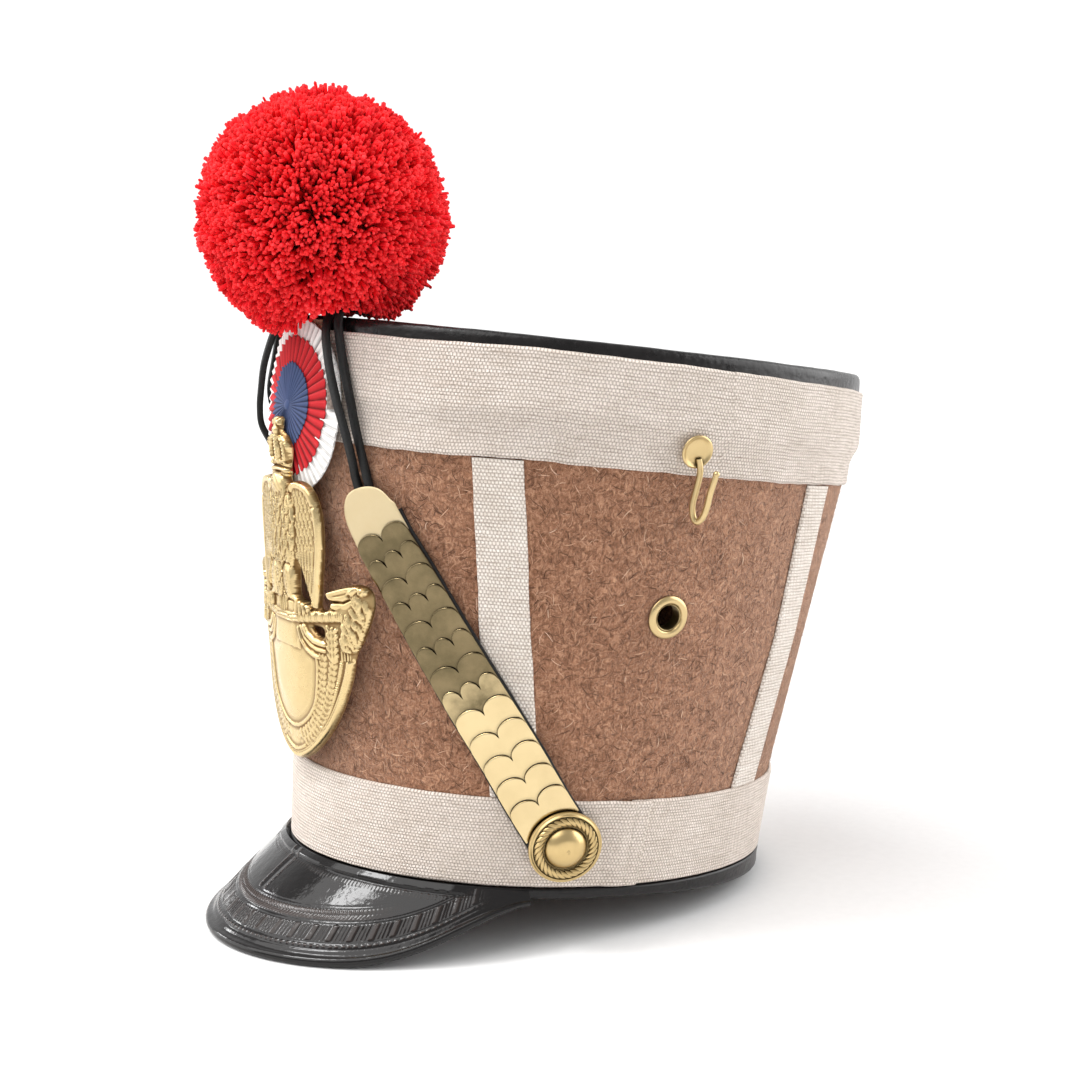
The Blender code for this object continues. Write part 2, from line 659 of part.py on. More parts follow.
strap_leather = finish("strap_leather", BLACK, 0.5)
brass = finish("scale_brass", GOLD, 0.22, 1.0)
boss_brass = finish("boss_brass", GOLD, 0.3, 1.0)
COLUMNS = {2: 8, 3: 9}
for side, word in ((1, "left"), (-1, "right")):
    # leather backing: round under the boss, square under the end plate
    half = STRAP_WIDTH / 2
    stops = [-half * c for c in (0.985, 0.9, 0.72, 0.42)] + [0.0]
    stops += [STRAP_LENGTH * i / 26 for i in range(1, 26)]
    stops = [s for s in stops if s < STRAP_LENGTH - 14.5] + [STRAP_LENGTH - 13.0]
    sections = []
    for s in stops:
        wide = math.sqrt(max(0.0, half * half - s * s)) if s < 0 else half
        shift = 0.45 * smooth((s - 60) / 60)
        sections.append([on_strap(s, -wide + shift, 0.0, side), on_strap(s, wide + shift, 0.0, side),
                         on_strap(s, wide + shift, -STRAP_LEATHER, side),
                         on_strap(s, -wide + shift, -STRAP_LEATHER, side)])
    loft(f"chin_strap_{word}", sections, strap_leather, round_trip=False)

    # end plate: round at its tip, its lower end under the first scale
    half = SCALE_WIDTH / 2
    low = first_or_last(1) - 0.7
    rows = []
    for i in range(9):
        t = math.pi / 2 * i / 8
        s = (low + (STRAP_LENGTH - 10.5 - low) * i / 3) if i < 3 else None
        if s is None:
            turn = math.radians((0, 22, 42, 60, 75, 86)[i - 3])
            s = STRAP_LENGTH - 10.5 + 10.5 * math.sin(turn)
            wide = half * math.cos(turn) ** 0.9
        else:
            wide = half
        lift = 0.42 + 0.45 * smooth((s - low - 4) / 8)
        rows.append([on_strap(s, wide * (k / 2 - 1), lift, side) for k in range(5)])
    sheet(f"end_plate_{word}", rows, SCALE_SHEET + 0.1, brass, skin_normal(-65, 138, side))

    for number in range(1, SCALES + 1):
        cusp = first_or_last(number)
        lobes = 3 if number in THREE_LOBED else 2
        columns = COLUMNS[lobes]
        rows = []
        for row in range(4):
            points = []
            for k in range(columns + 1):
                w = (2 * k / columns - 1) * half
                f = (k / columns * lobes) % 1.0 if k < columns else 1.0
                lobe = 4.6 * math.sqrt(max(0.0, 1 - (2 * f - 1) ** 2))
                if k in (0, columns):
                    lobe = -0.6
                d = (-11.0, -5.2, -1.0, lobe)[row]
                lift = 0.42 + 1.05 * smooth((d + 5.2) / 4.2)
                points.append(on_strap(cusp + d, w, lift, side))
            rows.append(points)
        sheet(f"scale_{word}_{number:02d}", rows, SCALE_SHEET, brass,
              skin_normal(*STRAP_LINE[4], side))

    boss = turned(f"boss_{word}", (
        (0.0, 5.6), (3.2, 5.3), (6.0, 4.3), (8.0, 2.7), (8.6, 1.9), (9.6, 2.3), (11.6, 2.5),
        (12.9, 1.8), (13.9, 1.6), (BOSS_R, 1.0), (14.3, 0.2), (13.6, 0.0), (0.0, 0.0)),
        26, boss_brass)
    stand_on_skin(boss, *STRAP_LINE[0], STRAP_OUT + 1.5, side)

# ---------------------------------------------------------------- eyelets and hooks
eyelet_brass = finish("eyelet_brass", GOLD, 0.3, 1.0)
for side, word in ((1, "left"), (-1, "right")):
    eyelet = turned(f"eyelet_{word}", (
        (4.8, 0.9), (5.6, 1.6), (6.8, 1.75), (8.0, 1.3), (8.5, 0.55), (8.3, 0.35), (5.25, 0.35),
        (5.25, -3.5), (7.4, -3.5), (7.4, -4.2), (5.6, -4.4), (4.8, -4.0), (4.8, 0.9)),
        24, eyelet_brass)
    stand_on_skin(eyelet, *EYELET, 0.0, side)

    disc = turned(f"hook_{word}", (
        (0.0, 0.7), (3.6, 0.8), (5.4, 1.4), (6.2, 1.5), (6.4, 1.1), (5.6, 0.2), (4.0, 0.0),
        (0.0, 0.0)), 22, eyelet_brass)
    stand_on_skin(disc, *HOOK, 4.8, side)
    # wire, in the disc's own frame: towards the back, up, away from the hat
    line = ((1.2, -2.6, 0.9), (2.2, -6.0, 1.6), (2.5, -9.0, 2.0), (2.2, -15.0, 2.1),
            (1.9, -20.0, 2.4), (2.6, -24.2, 3.4), (3.7, -25.8, 5.0), (4.6, -23.8, 6.6),
            (4.9, -19.5, 7.6), (4.7, -13.0, 8.2), (4.9, -8.6, 8.6), (5.1, -5.8, 8.8))
    line = [Vector((x * side, y, z)) for x, y, z in curve_through(line, 18)]
    wire = tube(f"hook_wire_{word}", line, 1.05, None, 2, cutters)
    wire = as_mesh(wire, cutters, None)
    wire.matrix_local = disc.matrix_local.copy()
    tip = bpy.data.meshes.new(f"hook_ball_{word}")
    shape = bmesh.new()
    bmesh.ops.create_uvsphere(shape, u_segments=10, v_segments=6, radius=1.75 * MM,
                              matrix=Matrix.Translation(line[-1] * MM))
    shape.to_mesh(tip)
    shape.free()
    tip = put(f"hook_ball_{word}", tip, None, cutters)
    tip.matrix_local = disc.matrix_local.copy()
    boolean(disc, wire, "UNION")
    boolean(disc, tip, "UNION")

# ---------------------------------------------------------------- laces
lace_leather = finish("lace_leather", BLACK, 0.45)


def lace(name, climb, over):
    left = [skin(a, z, out) for a, z, out in climb]
    lid = LACE_TOP_Z + 0.0
    middle = [Vector((x, y, lid + CROWN_TILT * 1.3 * y)) for x, y in over]

    def across(p):
        t = lean_at(p.z)
        return Vector((2 * SIDE_LEAN * t - p.x, p.y, p.z))

    right = [skin(a, z, out, -1) for a, z, out in reversed(climb)]
    far = [across(p) for p in reversed(middle)]
    if (far[0] - middle[-1]).length < 2.0:
        far = far[1:]
    line = curve_through([tuple(p) for p in left + middle + far + right], 48)
    return tube(name, line, LACE_R, lace_leather, 2)


lace("lace_a", LACE_A, LACE_A_TOP)
lace("lace_b", LACE_B, LACE_B_TOP)

# ---------------------------------------------------------------- pompom and its pin
mesh = bpy.data.meshes.new("pompom")
shape = bmesh.new()
bmesh.ops.create_uvsphere(shape, u_segments=28, v_segments=16, radius=POMPOM_R * MM,
                          matrix=Matrix.Translation(Vector(POMPOM) * MM))
shape.to_mesh(mesh)
shape.free()
pompom = put("pompom", mesh, finish("pompom_wool", RED, 0.9))
# the ball is pressed over the rim: this is the room that the rim, laces and cockade take
points, faces = [], []
for a in ANGLES:
    points += [skin(a, z, 11.4) for z in (170.0, 212.9)]
for i in range(STEPS):
    j = (i + 1) % STEPS
    faces.append((2 * i, 2 * j, 2 * j + 1, 2 * i + 1))
faces.append([2 * i + 1 for i in range(STEPS)])
faces.append([2 * i for i in reversed(range(STEPS))])
rim_room = put("rim_room", mesh_of("rim_room", points, faces), None, cutters)
boolean(pompom, rim_room, "DIFFERENCE")

stem = cylinder("pompom_stem", STEM_R, 168.0, 212.9 - 0.35 - CROWN_TILT * 0, 20, parts,
                finish("stem_steel", (0.5, 0.5, 0.5), 0.4, 1.0))
stem.location = (STEM[0] * MM, STEM[1] * MM, 0.0)
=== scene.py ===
"""Looks of the shako hat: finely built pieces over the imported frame, and their materials."""
import json
import math

import bmesh
import bpy
import numpy as np
from mathutils import Matrix, Vector

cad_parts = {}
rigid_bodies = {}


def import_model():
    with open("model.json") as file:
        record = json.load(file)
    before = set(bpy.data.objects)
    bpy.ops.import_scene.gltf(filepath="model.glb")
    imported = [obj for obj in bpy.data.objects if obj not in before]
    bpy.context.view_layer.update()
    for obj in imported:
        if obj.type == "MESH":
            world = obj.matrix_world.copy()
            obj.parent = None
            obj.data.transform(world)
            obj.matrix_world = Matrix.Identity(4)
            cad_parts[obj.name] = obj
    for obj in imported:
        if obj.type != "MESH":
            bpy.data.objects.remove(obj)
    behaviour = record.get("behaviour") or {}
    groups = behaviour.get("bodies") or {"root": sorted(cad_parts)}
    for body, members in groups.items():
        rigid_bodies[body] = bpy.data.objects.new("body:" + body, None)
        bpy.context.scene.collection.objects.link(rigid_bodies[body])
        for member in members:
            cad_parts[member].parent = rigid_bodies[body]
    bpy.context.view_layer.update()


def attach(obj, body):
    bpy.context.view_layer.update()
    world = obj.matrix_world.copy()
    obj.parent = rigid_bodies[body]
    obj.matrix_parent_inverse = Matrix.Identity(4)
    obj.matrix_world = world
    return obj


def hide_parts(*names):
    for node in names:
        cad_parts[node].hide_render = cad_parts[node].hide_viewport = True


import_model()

MM = 0.001
LEAN = math.radians(5.729)
REAR_Y, REAR_Z = 106.0, -10.0
CENTRE_X, CENTRE_Y, DOWN = -2.04, -1.485, -0.03

# outer face of the felt: z, half depth, half width, y of the middle
WALL = (
    (0.0, 104.8, 80.0, 0.0),
    (35.6, 105.8, 86.0, 0.0),
    (163.0, 123.6, 100.7, 1.6),
    (178.0, 122.6, 104.2, 2.0),
    (203.0, 121.5, 102.4, 2.4),
)
SIDE_LEAN = 2.0                 # the crown stands this far to the wearer's left of the base
CROWN_TILT = -0.029             # and is lower at the back
FRONT_DIP = 2.0                 # the bands' edges dip at the front
FELT = 3.0
GAP = 0.3
CANVAS = 1.2
BASE_BAND_TOP = 35.6
TOP_BAND_LOW, TOP_BAND_HIGH = 163.0, 203.0
SKIRT_LOW = 179.5               # lower edge of the crown's turned-down leather
SKIRT_OUT = 2.9
RIM_TOP = 208.4
RIM_LIFT = 2.0                  # rim higher at the back, lower at the front
STEPS = 48                      # sections round the hat

EYELET = (-4.59, 108.7)         # degrees, z
EYELET_HOLE_R = 5.6
HOOK = (-6.52, 173.6)
BOSS_R = 14.5
STEM = (2.0, -110.0)            # x, y of the pompom's pin
STEM_R = 2.0
POMPOM = (1.5, -119.3, 248.4)
POMPOM_R = 49.5

# chin strap's middle line, from the boss up to the tip of the end plate: degrees, z
STRAP_LINE = (
    (-20.07, 19.3), (-26.8, 35.2), (-33.2, 52.5), (-39.6, 69.2), (-45.2, 84.0),
    (-50.7, 98.8), (-56.2, 113.8), (-61.4, 126.9), (-64.9, 138.0), (-65.7, 146.7),
)
STRAP_OUT = 3.6                 # outer face of the strap's leather above the felt
STRAP_LEATHER = 1.5
STRAP_WIDTH = 24.9
SCALE_WIDTH = 23.6
SCALE_SHEET = 0.7
SCALES = 13
CUSPS = (135.6, 126.5, 117.4, 108.3, 99.0, 89.3, 79.6, 70.2, 60.8, 50.5, 40.2, 29.9, 19.6)   # from the boss, top one first
THREE_LOBED = (2, 4, 6, 8)

# laces: degrees, z, height of the middle above the felt
LACE_R = 1.7
LACE_A = (
    (-68.0, 142.5, 2.1), (-69.5, 148.5, 2.1), (-69.1, 155.4, 5.0), (-68.6, 162.1, 8.5),
    (-69.95, 168.7, 9.9), (-72.2, 176.3, 10.5), (-74.65, 186.7, 10.9), (-77.6, 198.0, 9.6),
    (-79.1, 204.0, 7.4), (-80.0, 208.0, 4.9), (-80.7, 210.1, 1.8), (-81.2, 210.6, -1.6),
    (-81.8, 210.4, -5.0),
)
LACE_B = (
    (-65.3, 142.5, 2.1), (-66.55, 149.1, 2.1), (-67.3, 155.7, 2.9), (-67.8, 162.4, 4.3),
    (-69.4, 169.0, 4.8), (-70.5, 176.7, 6.8), (-73.0, 187.1, 6.8), (-75.4, 198.4, 6.8),
    (-76.6, 204.0, 6.2), (-77.3, 208.0, 4.6), (-77.8, 210.1, 1.8), (-78.3, 210.6, -1.6),
    (-79.0, 210.4, -5.0),
)
LACE_TOP_Z = 210.4
LACE_A_TOP = ((10.0, -104.0), (2.0, -101.5))
LACE_B_TOP = ((13.5, -99.0), (2.0, -95.5))

# peak's outer edge: a superellipse whose ends rise off the surface
PEAK_W, PEAK_L, PEAK_Y = 75.5, 94.2, -45.8
PEAK_N, PEAK_RISE_N, PEAK_END_Z = 1.95, 10.0, -6.0
PEAK_START = -25.4              # degrees where it leaves the hat
PEAK_THICK, BEAD_R = 2.2, 1.9

# cockade: bent round the front of the hat
COCKADE_U, COCKADE_Z = 1.0, 172.0
COCKADE_R = {"right": 31.0, "left": 27.5, "height": 33.0}

# front plate, half outline from the cross down to the lower tip: u round the hat, z
PLATE_HALF = (
    (3.4, 167.6), (3.0, 165.6), (3.2, 164.2), (2.4, 162.8), (5.2, 161.6), (7.4, 159.6),
    (8.4, 156.8), (7.8, 153.6), (6.8, 151.0), (6.0, 148.9), (6.8, 147.7), (6.0, 145.9),
    (6.0, 144.4), (7.4, 143.3), (9.4, 144.5), (12.4, 145.0), (15.6, 144.7), (18.4, 143.6),
    (20.8, 141.3), (22.4, 138.4), (23.6, 134.6), (24.2, 130.4), (24.3, 125.0), (24.0, 119.8),
    (23.4, 114.6), (22.7, 109.3), (22.2, 103.8), (21.6, 98.4), (25.7, 98.6), (27.0, 101.0),
    (27.7, 102.4), (26.6, 103.4), (26.0, 104.6), (26.4, 106.0), (29.5, 107.3), (33.5, 108.8),
    (37.2, 110.0), (41.2, 110.7), (44.4, 109.8), (46.0, 107.8), (46.3, 104.4), (45.6, 100.6),
    (44.4, 96.8), (42.6, 92.8), (40.8, 88.8), (38.8, 85.8), (37.6, 83.4), (36.9, 80.0),
    (35.8, 75.4), (34.2, 71.0), (32.2, 66.2), (29.6, 61.0), (26.4, 55.8), (22.2, 50.4),
    (17.4, 45.6), (12.6, 41.8), (8.4, 39.4), (4.2, 37.7),
)
PLATE_TIP_Z = 36.9
PLATE_HOLES = (
    ((9.2, 101.6), (9.1, 106.2), (9.4, 112.6), (10.2, 113.4), (11.4, 110.0), (12.2, 106.8),
     (14.0, 103.0), (16.8, 98.8), (13.0, 100.6)),
    ((16.2, 91.7), (23.8, 91.9), (23.6, 87.7), (20.4, 88.2), (17.8, 89.8)),
)
# back of the plate above the felt: z, height
PLATE_BACK = (
    (36.0, 4.6), (60.0, 6.2), (85.0, 7.2), (100.0, 7.0), (120.0, 7.0), (138.0, 7.2),
    (155.0, 7.7), (171.0, 9.4),
)
PLATE_SHEET = 1.5

# canvas strips' middle line: z, degrees
STRIPS = {
    "front": ((36.0, -31.7), (98.0, -36.6), (163.0, -40.5)),
    "rear": ((36.0, 29.5), (100.0, 32.5), (163.0, 30.5)),
}
STRIP_WIDTH = 19.0
STRIP_THICK = 1.0
SEAM = -1.1                     # degrees where the base band's upper end stops
SEAM_LAP = 4.3

# ---------------------------------------------------------------- small maths, in the hat's frame
WZ, WD, WW, WM = (np.array(c) for c in zip(*WALL))


def smooth(t):
    t = np.clip(t, 0.0, 1.0)
    return t * t * (3.0 - 2.0 * t)


def lean_at(z):
    return np.clip((np.asarray(z) - WALL[1][0]) / (WALL[2][0] - WALL[1][0]), 0.0, 1.3)


def skin(degrees, z, out=0.0, side=1):
    """Points that stand `out` off the felt: the same surface as the CAD's, for arrays."""
    degrees, z, out = np.broadcast_arrays(*(np.asarray(v, float) for v in (degrees, z, out)))
    a, t = np.radians(degrees), lean_at(z)
    y = np.interp(z, WZ, WM) + (np.interp(z, WZ, WD) + out) * np.sin(a)
    x = SIDE_LEAN * t + side * (np.interp(z, WZ, WW) + out) * np.cos(a)
    return np.stack([x, y, z + CROWN_TILT * t * y], -1)


def unit(v):
    return v / np.maximum(np.linalg.norm(v, axis=-1, keepdims=True), 1e-9)


def skin_frame(degrees, z, side=1):
    """(across, up, normal) of the wall at each point, as the CAD's stand_on_skin has them."""
    a = skin(np.asarray(degrees) + 0.5, z, 0, side) - skin(np.asarray(degrees) - 0.5, z, 0, side)
    b = skin(degrees, np.asarray(z) + 1.0, 0, side) - skin(degrees, np.asarray(z) - 1.0, 0, side)
    normal = unit(np.cross(a, b) * side)
    across = unit(np.cross(np.array([0.0, 0.0, 1.0]), normal))
    return across, np.cross(normal, across), normal


def dip(degrees):
    return FRONT_DIP * smooth((-np.sin(np.radians(degrees)) - 0.49) / 0.45)


def rim_z(degrees):
    return RIM_TOP + RIM_LIFT * np.sin(np.radians(degrees))


def front_degrees(u, z):
    depth, width = np.interp(z, WZ, WD), np.interp(z, WZ, WW)
    r = np.asarray(u) / width
    k = (depth / width) ** 2 - 1.0
    return -90.0 + np.degrees(r - k * r ** 3 / 6.0)


def curve_through(rows, count):
    rows = np.asarray(rows, float)
    pts = np.vstack([2 * rows[0] - rows[1], rows, 2 * rows[-1] - rows[-2]])
    f = np.linspace(0, len(rows) - 1, count)
    k = np.minimum(f.astype(int), len(rows) - 2)
    t = (f - k)[:, None]
    a, b, c, d = (pts[k + i] for i in range(4))
    return 0.5 * (2 * b + (c - a) * t + (2 * a - 5 * b + 4 * c - d) * t * t
                  + (3 * b - a - 3 * c + d) * t ** 3)


def world(p):
    """From the hat's frame in millimetres to the row's frame in metres."""
    p = np.asarray(p, float)
    c, s = math.cos(LEAN), math.sin(LEAN)
    up = REAR_Y * s - REAR_Z * c + DOWN
    return np.stack([p[..., 0] + CENTRE_X, p[..., 1] * c + p[..., 2] * s + CENTRE_Y,
                     -p[..., 1] * s + p[..., 2] * c + up], -1) * MM


def wave(x, seed=0.0, scale=1.0):
    """A smooth made-up unevenness between about -1 and 1."""
    x = np.asarray(x) / scale
    return (np.sin(x * 1.0 + seed) + 0.6 * np.sin(x * 2.37 + 1.7 * seed + 1.0)
            + 0.35 * np.sin(x * 5.13 + 2.9 * seed + 2.0)) / 1.95


# ---------------------------------------------------------------- making meshes
ROOT_PIECES = []


def build(name, points, faces, material, uv=None, smooth_angle=40, instead=()):
    """points in the hat's frame; faces an (n, 3 or 4) array or list of arrays; uv per point."""
    if isinstance(faces, np.ndarray):
        faces = [faces]
    points = world(points).reshape(-1, 3)
    mesh = bpy.data.meshes.new(name)
    mesh.vertices.add(len(points))
    mesh.vertices.foreach_set("co", points.astype(np.float32).ravel())
    loops = np.concatenate([f.ravel() for f in faces]).astype(np.int32)
    starts, at = [], 0
    for f in faces:
        starts.append(at + np.arange(len(f)) * f.shape[1])
        at += f.size
    mesh.loops.add(len(loops))
    mesh.loops.foreach_set("vertex_index", loops)
    starts = np.concatenate(starts).astype(np.int32)
    mesh.polygons.add(len(starts))
    mesh.polygons.foreach_set("loop_start", starts)
    mesh.update(calc_edges=True)
    if uv is not None:
        layer = mesh.uv_layers.new(name="cloth")
        layer.data.foreach_set("uv", np.asarray(uv, np.float32).reshape(-1, 2)[loops].ravel())
    mesh.validate(verbose=False)
    mesh.shade_smooth()
    if smooth_angle:
        mesh.set_sharp_from_angle(angle=math.radians(smooth_angle))
    obj = bpy.data.objects.new(name, mesh)
    bpy.context.scene.collection.objects.link(obj)
    mesh.materials.append(material)
    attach(obj, "root")
    if instead:
        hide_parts(*instead)
    ROOT_PIECES.append(obj)
    return obj


def quads(n, m, wrap_n=False, wrap_m=False, offset=0, flip=False):
    """Faces of an n by m grid of points."""
    i = np.arange(n if wrap_n else n - 1)[:, None]
    k = np.arange(m if wrap_m else m - 1)[None, :]
    a, b = i * m + k, i * m + (k + 1) % m
    c, d = (i + 1) % n * m + (k + 1) % m, (i + 1) % n * m + k
    f = np.stack([a, b, c, d], -1).reshape(-1, 4) + offset
    return f[:, ::-1] if flip else f


def fan(ring, centre, flip=False):
    ring = np.asarray(ring)
    f = np.stack([ring, np.roll(ring, -1), np.full(len(ring), centre)], -1)
    return f[:, ::-1] if flip else f


def merged(parts):
    """Joins (points, faces, uv) triples; faces are lists of arrays."""
    pts, faces, uvs, at = [], [], [], 0
    for p, fs, uv in parts:
        p = np.asarray(p).reshape(-1, 3)
        pts.append(p)
        uvs.append(np.zeros((len(p), 2)) if uv is None else np.asarray(uv).reshape(-1, 2))
        for f in ([fs] if isinstance(fs, np.ndarray) else fs):
            faces.append(f + at)
        at += len(p)
    return np.concatenate(pts), faces, np.concatenate(uvs)


def swept(path, normals, profile, closed=False, scale=None):
    """A closed profile (sideways, along the normal) moved along a path: points and faces."""
    path, normals = np.asarray(path, float), np.asarray(normals, float)
    if closed:
        way = np.roll(path, -1, 0) - np.roll(path, 1, 0)
    else:
        way = np.gradient(path, axis=0)
    way = unit(way)
    normals = unit(normals - way * np.sum(way * normals, -1, keepdims=True))
    across = np.cross(way, normals)
    profile = np.asarray(profile, float)
    s = np.ones(len(path)) if scale is None else np.asarray(scale)
    p = (path[:, None] + across[:, None] * profile[None, :, :1] * s[:, None, None]
         + normals[:, None] * profile[None, :, 1:] * s[:, None, None])
    n, m = len(path), len(profile)
    f = [quads(n, m, wrap_n=closed, wrap_m=True, flip=True)]
    if not closed:
        f += [np.arange(m)[None, :], np.arange((n - 1) * m, n * m)[None, ::-1]]
    return p.reshape(-1, 3), f


def circle(radius, count, squash=1.0):
    t = np.arange(count) / count * math.tau
    return np.stack([radius * np.cos(t), radius * squash * np.sin(t)], -1)


def lathe(profile, count, place):
    """A profile (radius, height) turned round a placed Z axis: points and faces, open at its ends."""
    profile = np.asarray(profile, float)
    t = np.arange(count) / count * math.tau
    p = np.stack([profile[None, :, 0] * np.cos(t)[:, None], profile[None, :, 0] * np.sin(t)[:, None],
                  np.broadcast_to(profile[None, :, 1], (count, len(profile)))], -1)
    return place(p.reshape(-1, 3)), [quads(count, len(profile), wrap_n=True)]


def placer(degrees, z, out, side=1):
    """Maps an object's own (across, up, away from the hat) millimetres onto the wall."""
    a, u, n = (v.ravel() for v in skin_frame(degrees, z, side))
    spot = skin(degrees, z, 0, side).ravel() + n * out
    turn = np.stack([a, u, n])
    return lambda p: spot + np.asarray(p) @ turn


# ---------------------------------------------------------------- materials
class Look:
    """A material with a Principled shader, and short ways to wire nodes."""

    def __init__(self, name, colour=(0.5, 0.5, 0.5), rough=0.5, metal=0.0, **sockets):
        self.m = bpy.data.materials.new(name)
        self.m.use_nodes = True
        self.t = self.m.node_tree
        self.b = self.t.nodes["Principled BSDF"]
        self.b.inputs["Base Color"].default_value = (*colour, 1.0)
        self.b.inputs["Roughness"].default_value = rough
        self.b.inputs["Metallic"].default_value = metal
        self.m.diffuse_color = (*colour, 1.0)
        for k, v in sockets.items():
            self.b.inputs[k.replace("_", " ")].default_value = v

    def node(self, kind, out=0, props=(), **inputs):
        n = self.t.nodes.new("ShaderNode" + kind)
        for k, v in dict(props).items():
            setattr(n, k, v)
        for k, v in inputs.items():
            k = int(k[1:]) if k[0] == "i" and k[1:].isdigit() else k.replace("_", " ")
            if isinstance(v, bpy.types.NodeSocket):
                self.t.links.new(v, n.inputs[k])
            else:
                n.inputs[k].default_value = v
        return n.outputs[out]

    def place(self):
        if not hasattr(self, "_p"):
            self._p = self.node("TexCoord", "Object")
        return self._p

    def cloth(self):
        if not hasattr(self, "_c"):
            self._c = self.node("UVMap", props={"uv_map": "cloth"})
        return self._c

    def noise(self, scale, detail=3.0, rough=0.55, at=None, stretch=None, distortion=0.0):
        v = at or self.place()
        if stretch:
            v = self.node("Mapping", Vector=v, Scale=stretch)
        return self.node("TexNoise", 0, Vector=v, Scale=scale, Detail=detail, Roughness=rough,
                         Distortion=distortion)

    def math(self, op, a, b=0.0, c=0.0, clamp=False):
        return self.node("Math", 0, {"operation": op, "use_clamp": clamp}, i0=a, i1=b, i2=c)

    def ramp(self, x, *stops, how="LINEAR"):
        n = self.t.nodes.new("ShaderNodeValToRGB")
        n.color_ramp.interpolation = how
        e = n.color_ramp.elements
        while len(e) > 1:
            e.remove(e[-1])
        for k, (pos, col) in enumerate(stops):
            s = e[0] if k == 0 else e.new(pos)
            s.position = pos
            s.color = (*col, 1.0) if hasattr(col, "__len__") else (col, col, col, 1.0)
        self.t.links.new(x, n.inputs[0])
        return n.outputs[0]

    def mix(self, f, a, b, blend="MIX"):
        n = self.t.nodes.new("ShaderNodeMix")
        n.data_type, n.blend_type = "RGBA", blend
        for key, v in ((0, f), (6, a), (7, b)):
            if isinstance(v, bpy.types.NodeSocket):
                self.t.links.new(v, n.inputs[key])
            elif key == 0:
                n.inputs[0].default_value = v
            else:
                n.inputs[key].default_value = (*v, 1.0)
        return n.outputs[2]

    def range(self, x, a, b, c, d):
        return self.node("MapRange", 0, Value=x, From_Min=a, From_Max=b, To_Min=c, To_Max=d)

    def bump(self, height, strength, distance_mm, before=None):
        args = {"Strength": strength, "Distance": distance_mm * MM, "Height": height}
        if before is not None:
            args["Normal"] = before
        return self.node("Bump", 0, **args)

    def set(self, **sockets):
        for k, v in sockets.items():
            self.t.links.new(v, self.b.inputs[k.replace("_", " ")])
        return self


# ---------------------------------------------------------------- camera, floor and light
AZ, EL, FAR = math.radians(58.41), 0.151233, 764.485
target = Vector((-2.04, 3.084, 146.54)) * MM
back = Vector((math.sin(AZ) * math.cos(EL), -math.cos(AZ) * math.cos(EL), math.sin(EL)))
cam = bpy.data.objects.new("camera", bpy.data.cameras.new("camera"))
cam.data.lens, cam.data.sensor_width = 60.40, 36.0
cam.data.clip_start, cam.data.clip_end = 0.01, 50.0
cam.location = target + back * (FAR * MM)
cam.rotation_mode = "QUATERNION"
cam.rotation_quaternion = (-back).to_track_quat("-Z", "Y")
bpy.context.scene.collection.objects.link(cam)
bpy.context.scene.camera = cam
bpy.context.scene.view_settings.view_transform = "Standard"

pale = Look("floor_paper", (0.93, 0.93, 0.93), 0.9, Specular_IOR_Level=0.1)
spot = pale.t.nodes.new("ShaderNodeSeparateXYZ")
pale.t.links.new(pale.place(), spot.inputs[0])
front_shade = pale.range(spot.outputs[1], -1.10, -0.22, 0.0, 1.0)            # painted shade: the paper is painted darker towards its front edge, as shade there, which the brass scales reflect
grain = pale.noise(220.0, 2.0)
pale.set(Base_Color=pale.mix(front_shade, (0.46, 0.46, 0.455), pale.ramp(
    grain, (0.3, (0.80, 0.80, 0.80)), (0.7, (0.82, 0.82, 0.82)))))
mesh = bpy.data.meshes.new("floor")
side_m = 3.2
rows = 24
pts = [(x, y, 0.0) for y in np.linspace(-side_m, side_m, rows) for x in np.linspace(-side_m, side_m, rows)]
mesh.from_pydata(pts, [], [tuple(f) for f in quads(rows, rows, flip=False)])
floor = bpy.data.objects.new("floor", mesh)
bpy.context.scene.collection.objects.link(floor)
mesh.materials.append(pale.m)

sky = bpy.data.worlds.new("studio")
bpy.context.scene.world = sky
sky.use_nodes = True
sky_nodes = sky.node_tree
way_in = sky_nodes.nodes.new("ShaderNodeTexCoord")
facing = sky_nodes.nodes.new("ShaderNodeVectorMath")
facing.operation = "DOT_PRODUCT"
facing.inputs[1].default_value = (-0.85, 0.52, 0.0)
sky_nodes.links.new(way_in.outputs["Generated"], facing.inputs[0])
level = sky_nodes.nodes.new("ShaderNodeMapRange")
level.interpolation_type = "SMOOTHSTEP"
for k_, v_ in zip(("From Min", "From Max", "To Min", "To Max"), (0.30, 0.80, 0.54, 1.12)):
    level.inputs[k_].default_value = v_
sky_nodes.links.new(facing.outputs["Value"], level.inputs["Value"])
sky_nodes.links.new(level.outputs[0], sky_nodes.nodes["Background"].inputs[1])
sky_nodes.nodes["Background"].inputs[0].default_value = (1.0, 1.0, 1.0, 1.0)


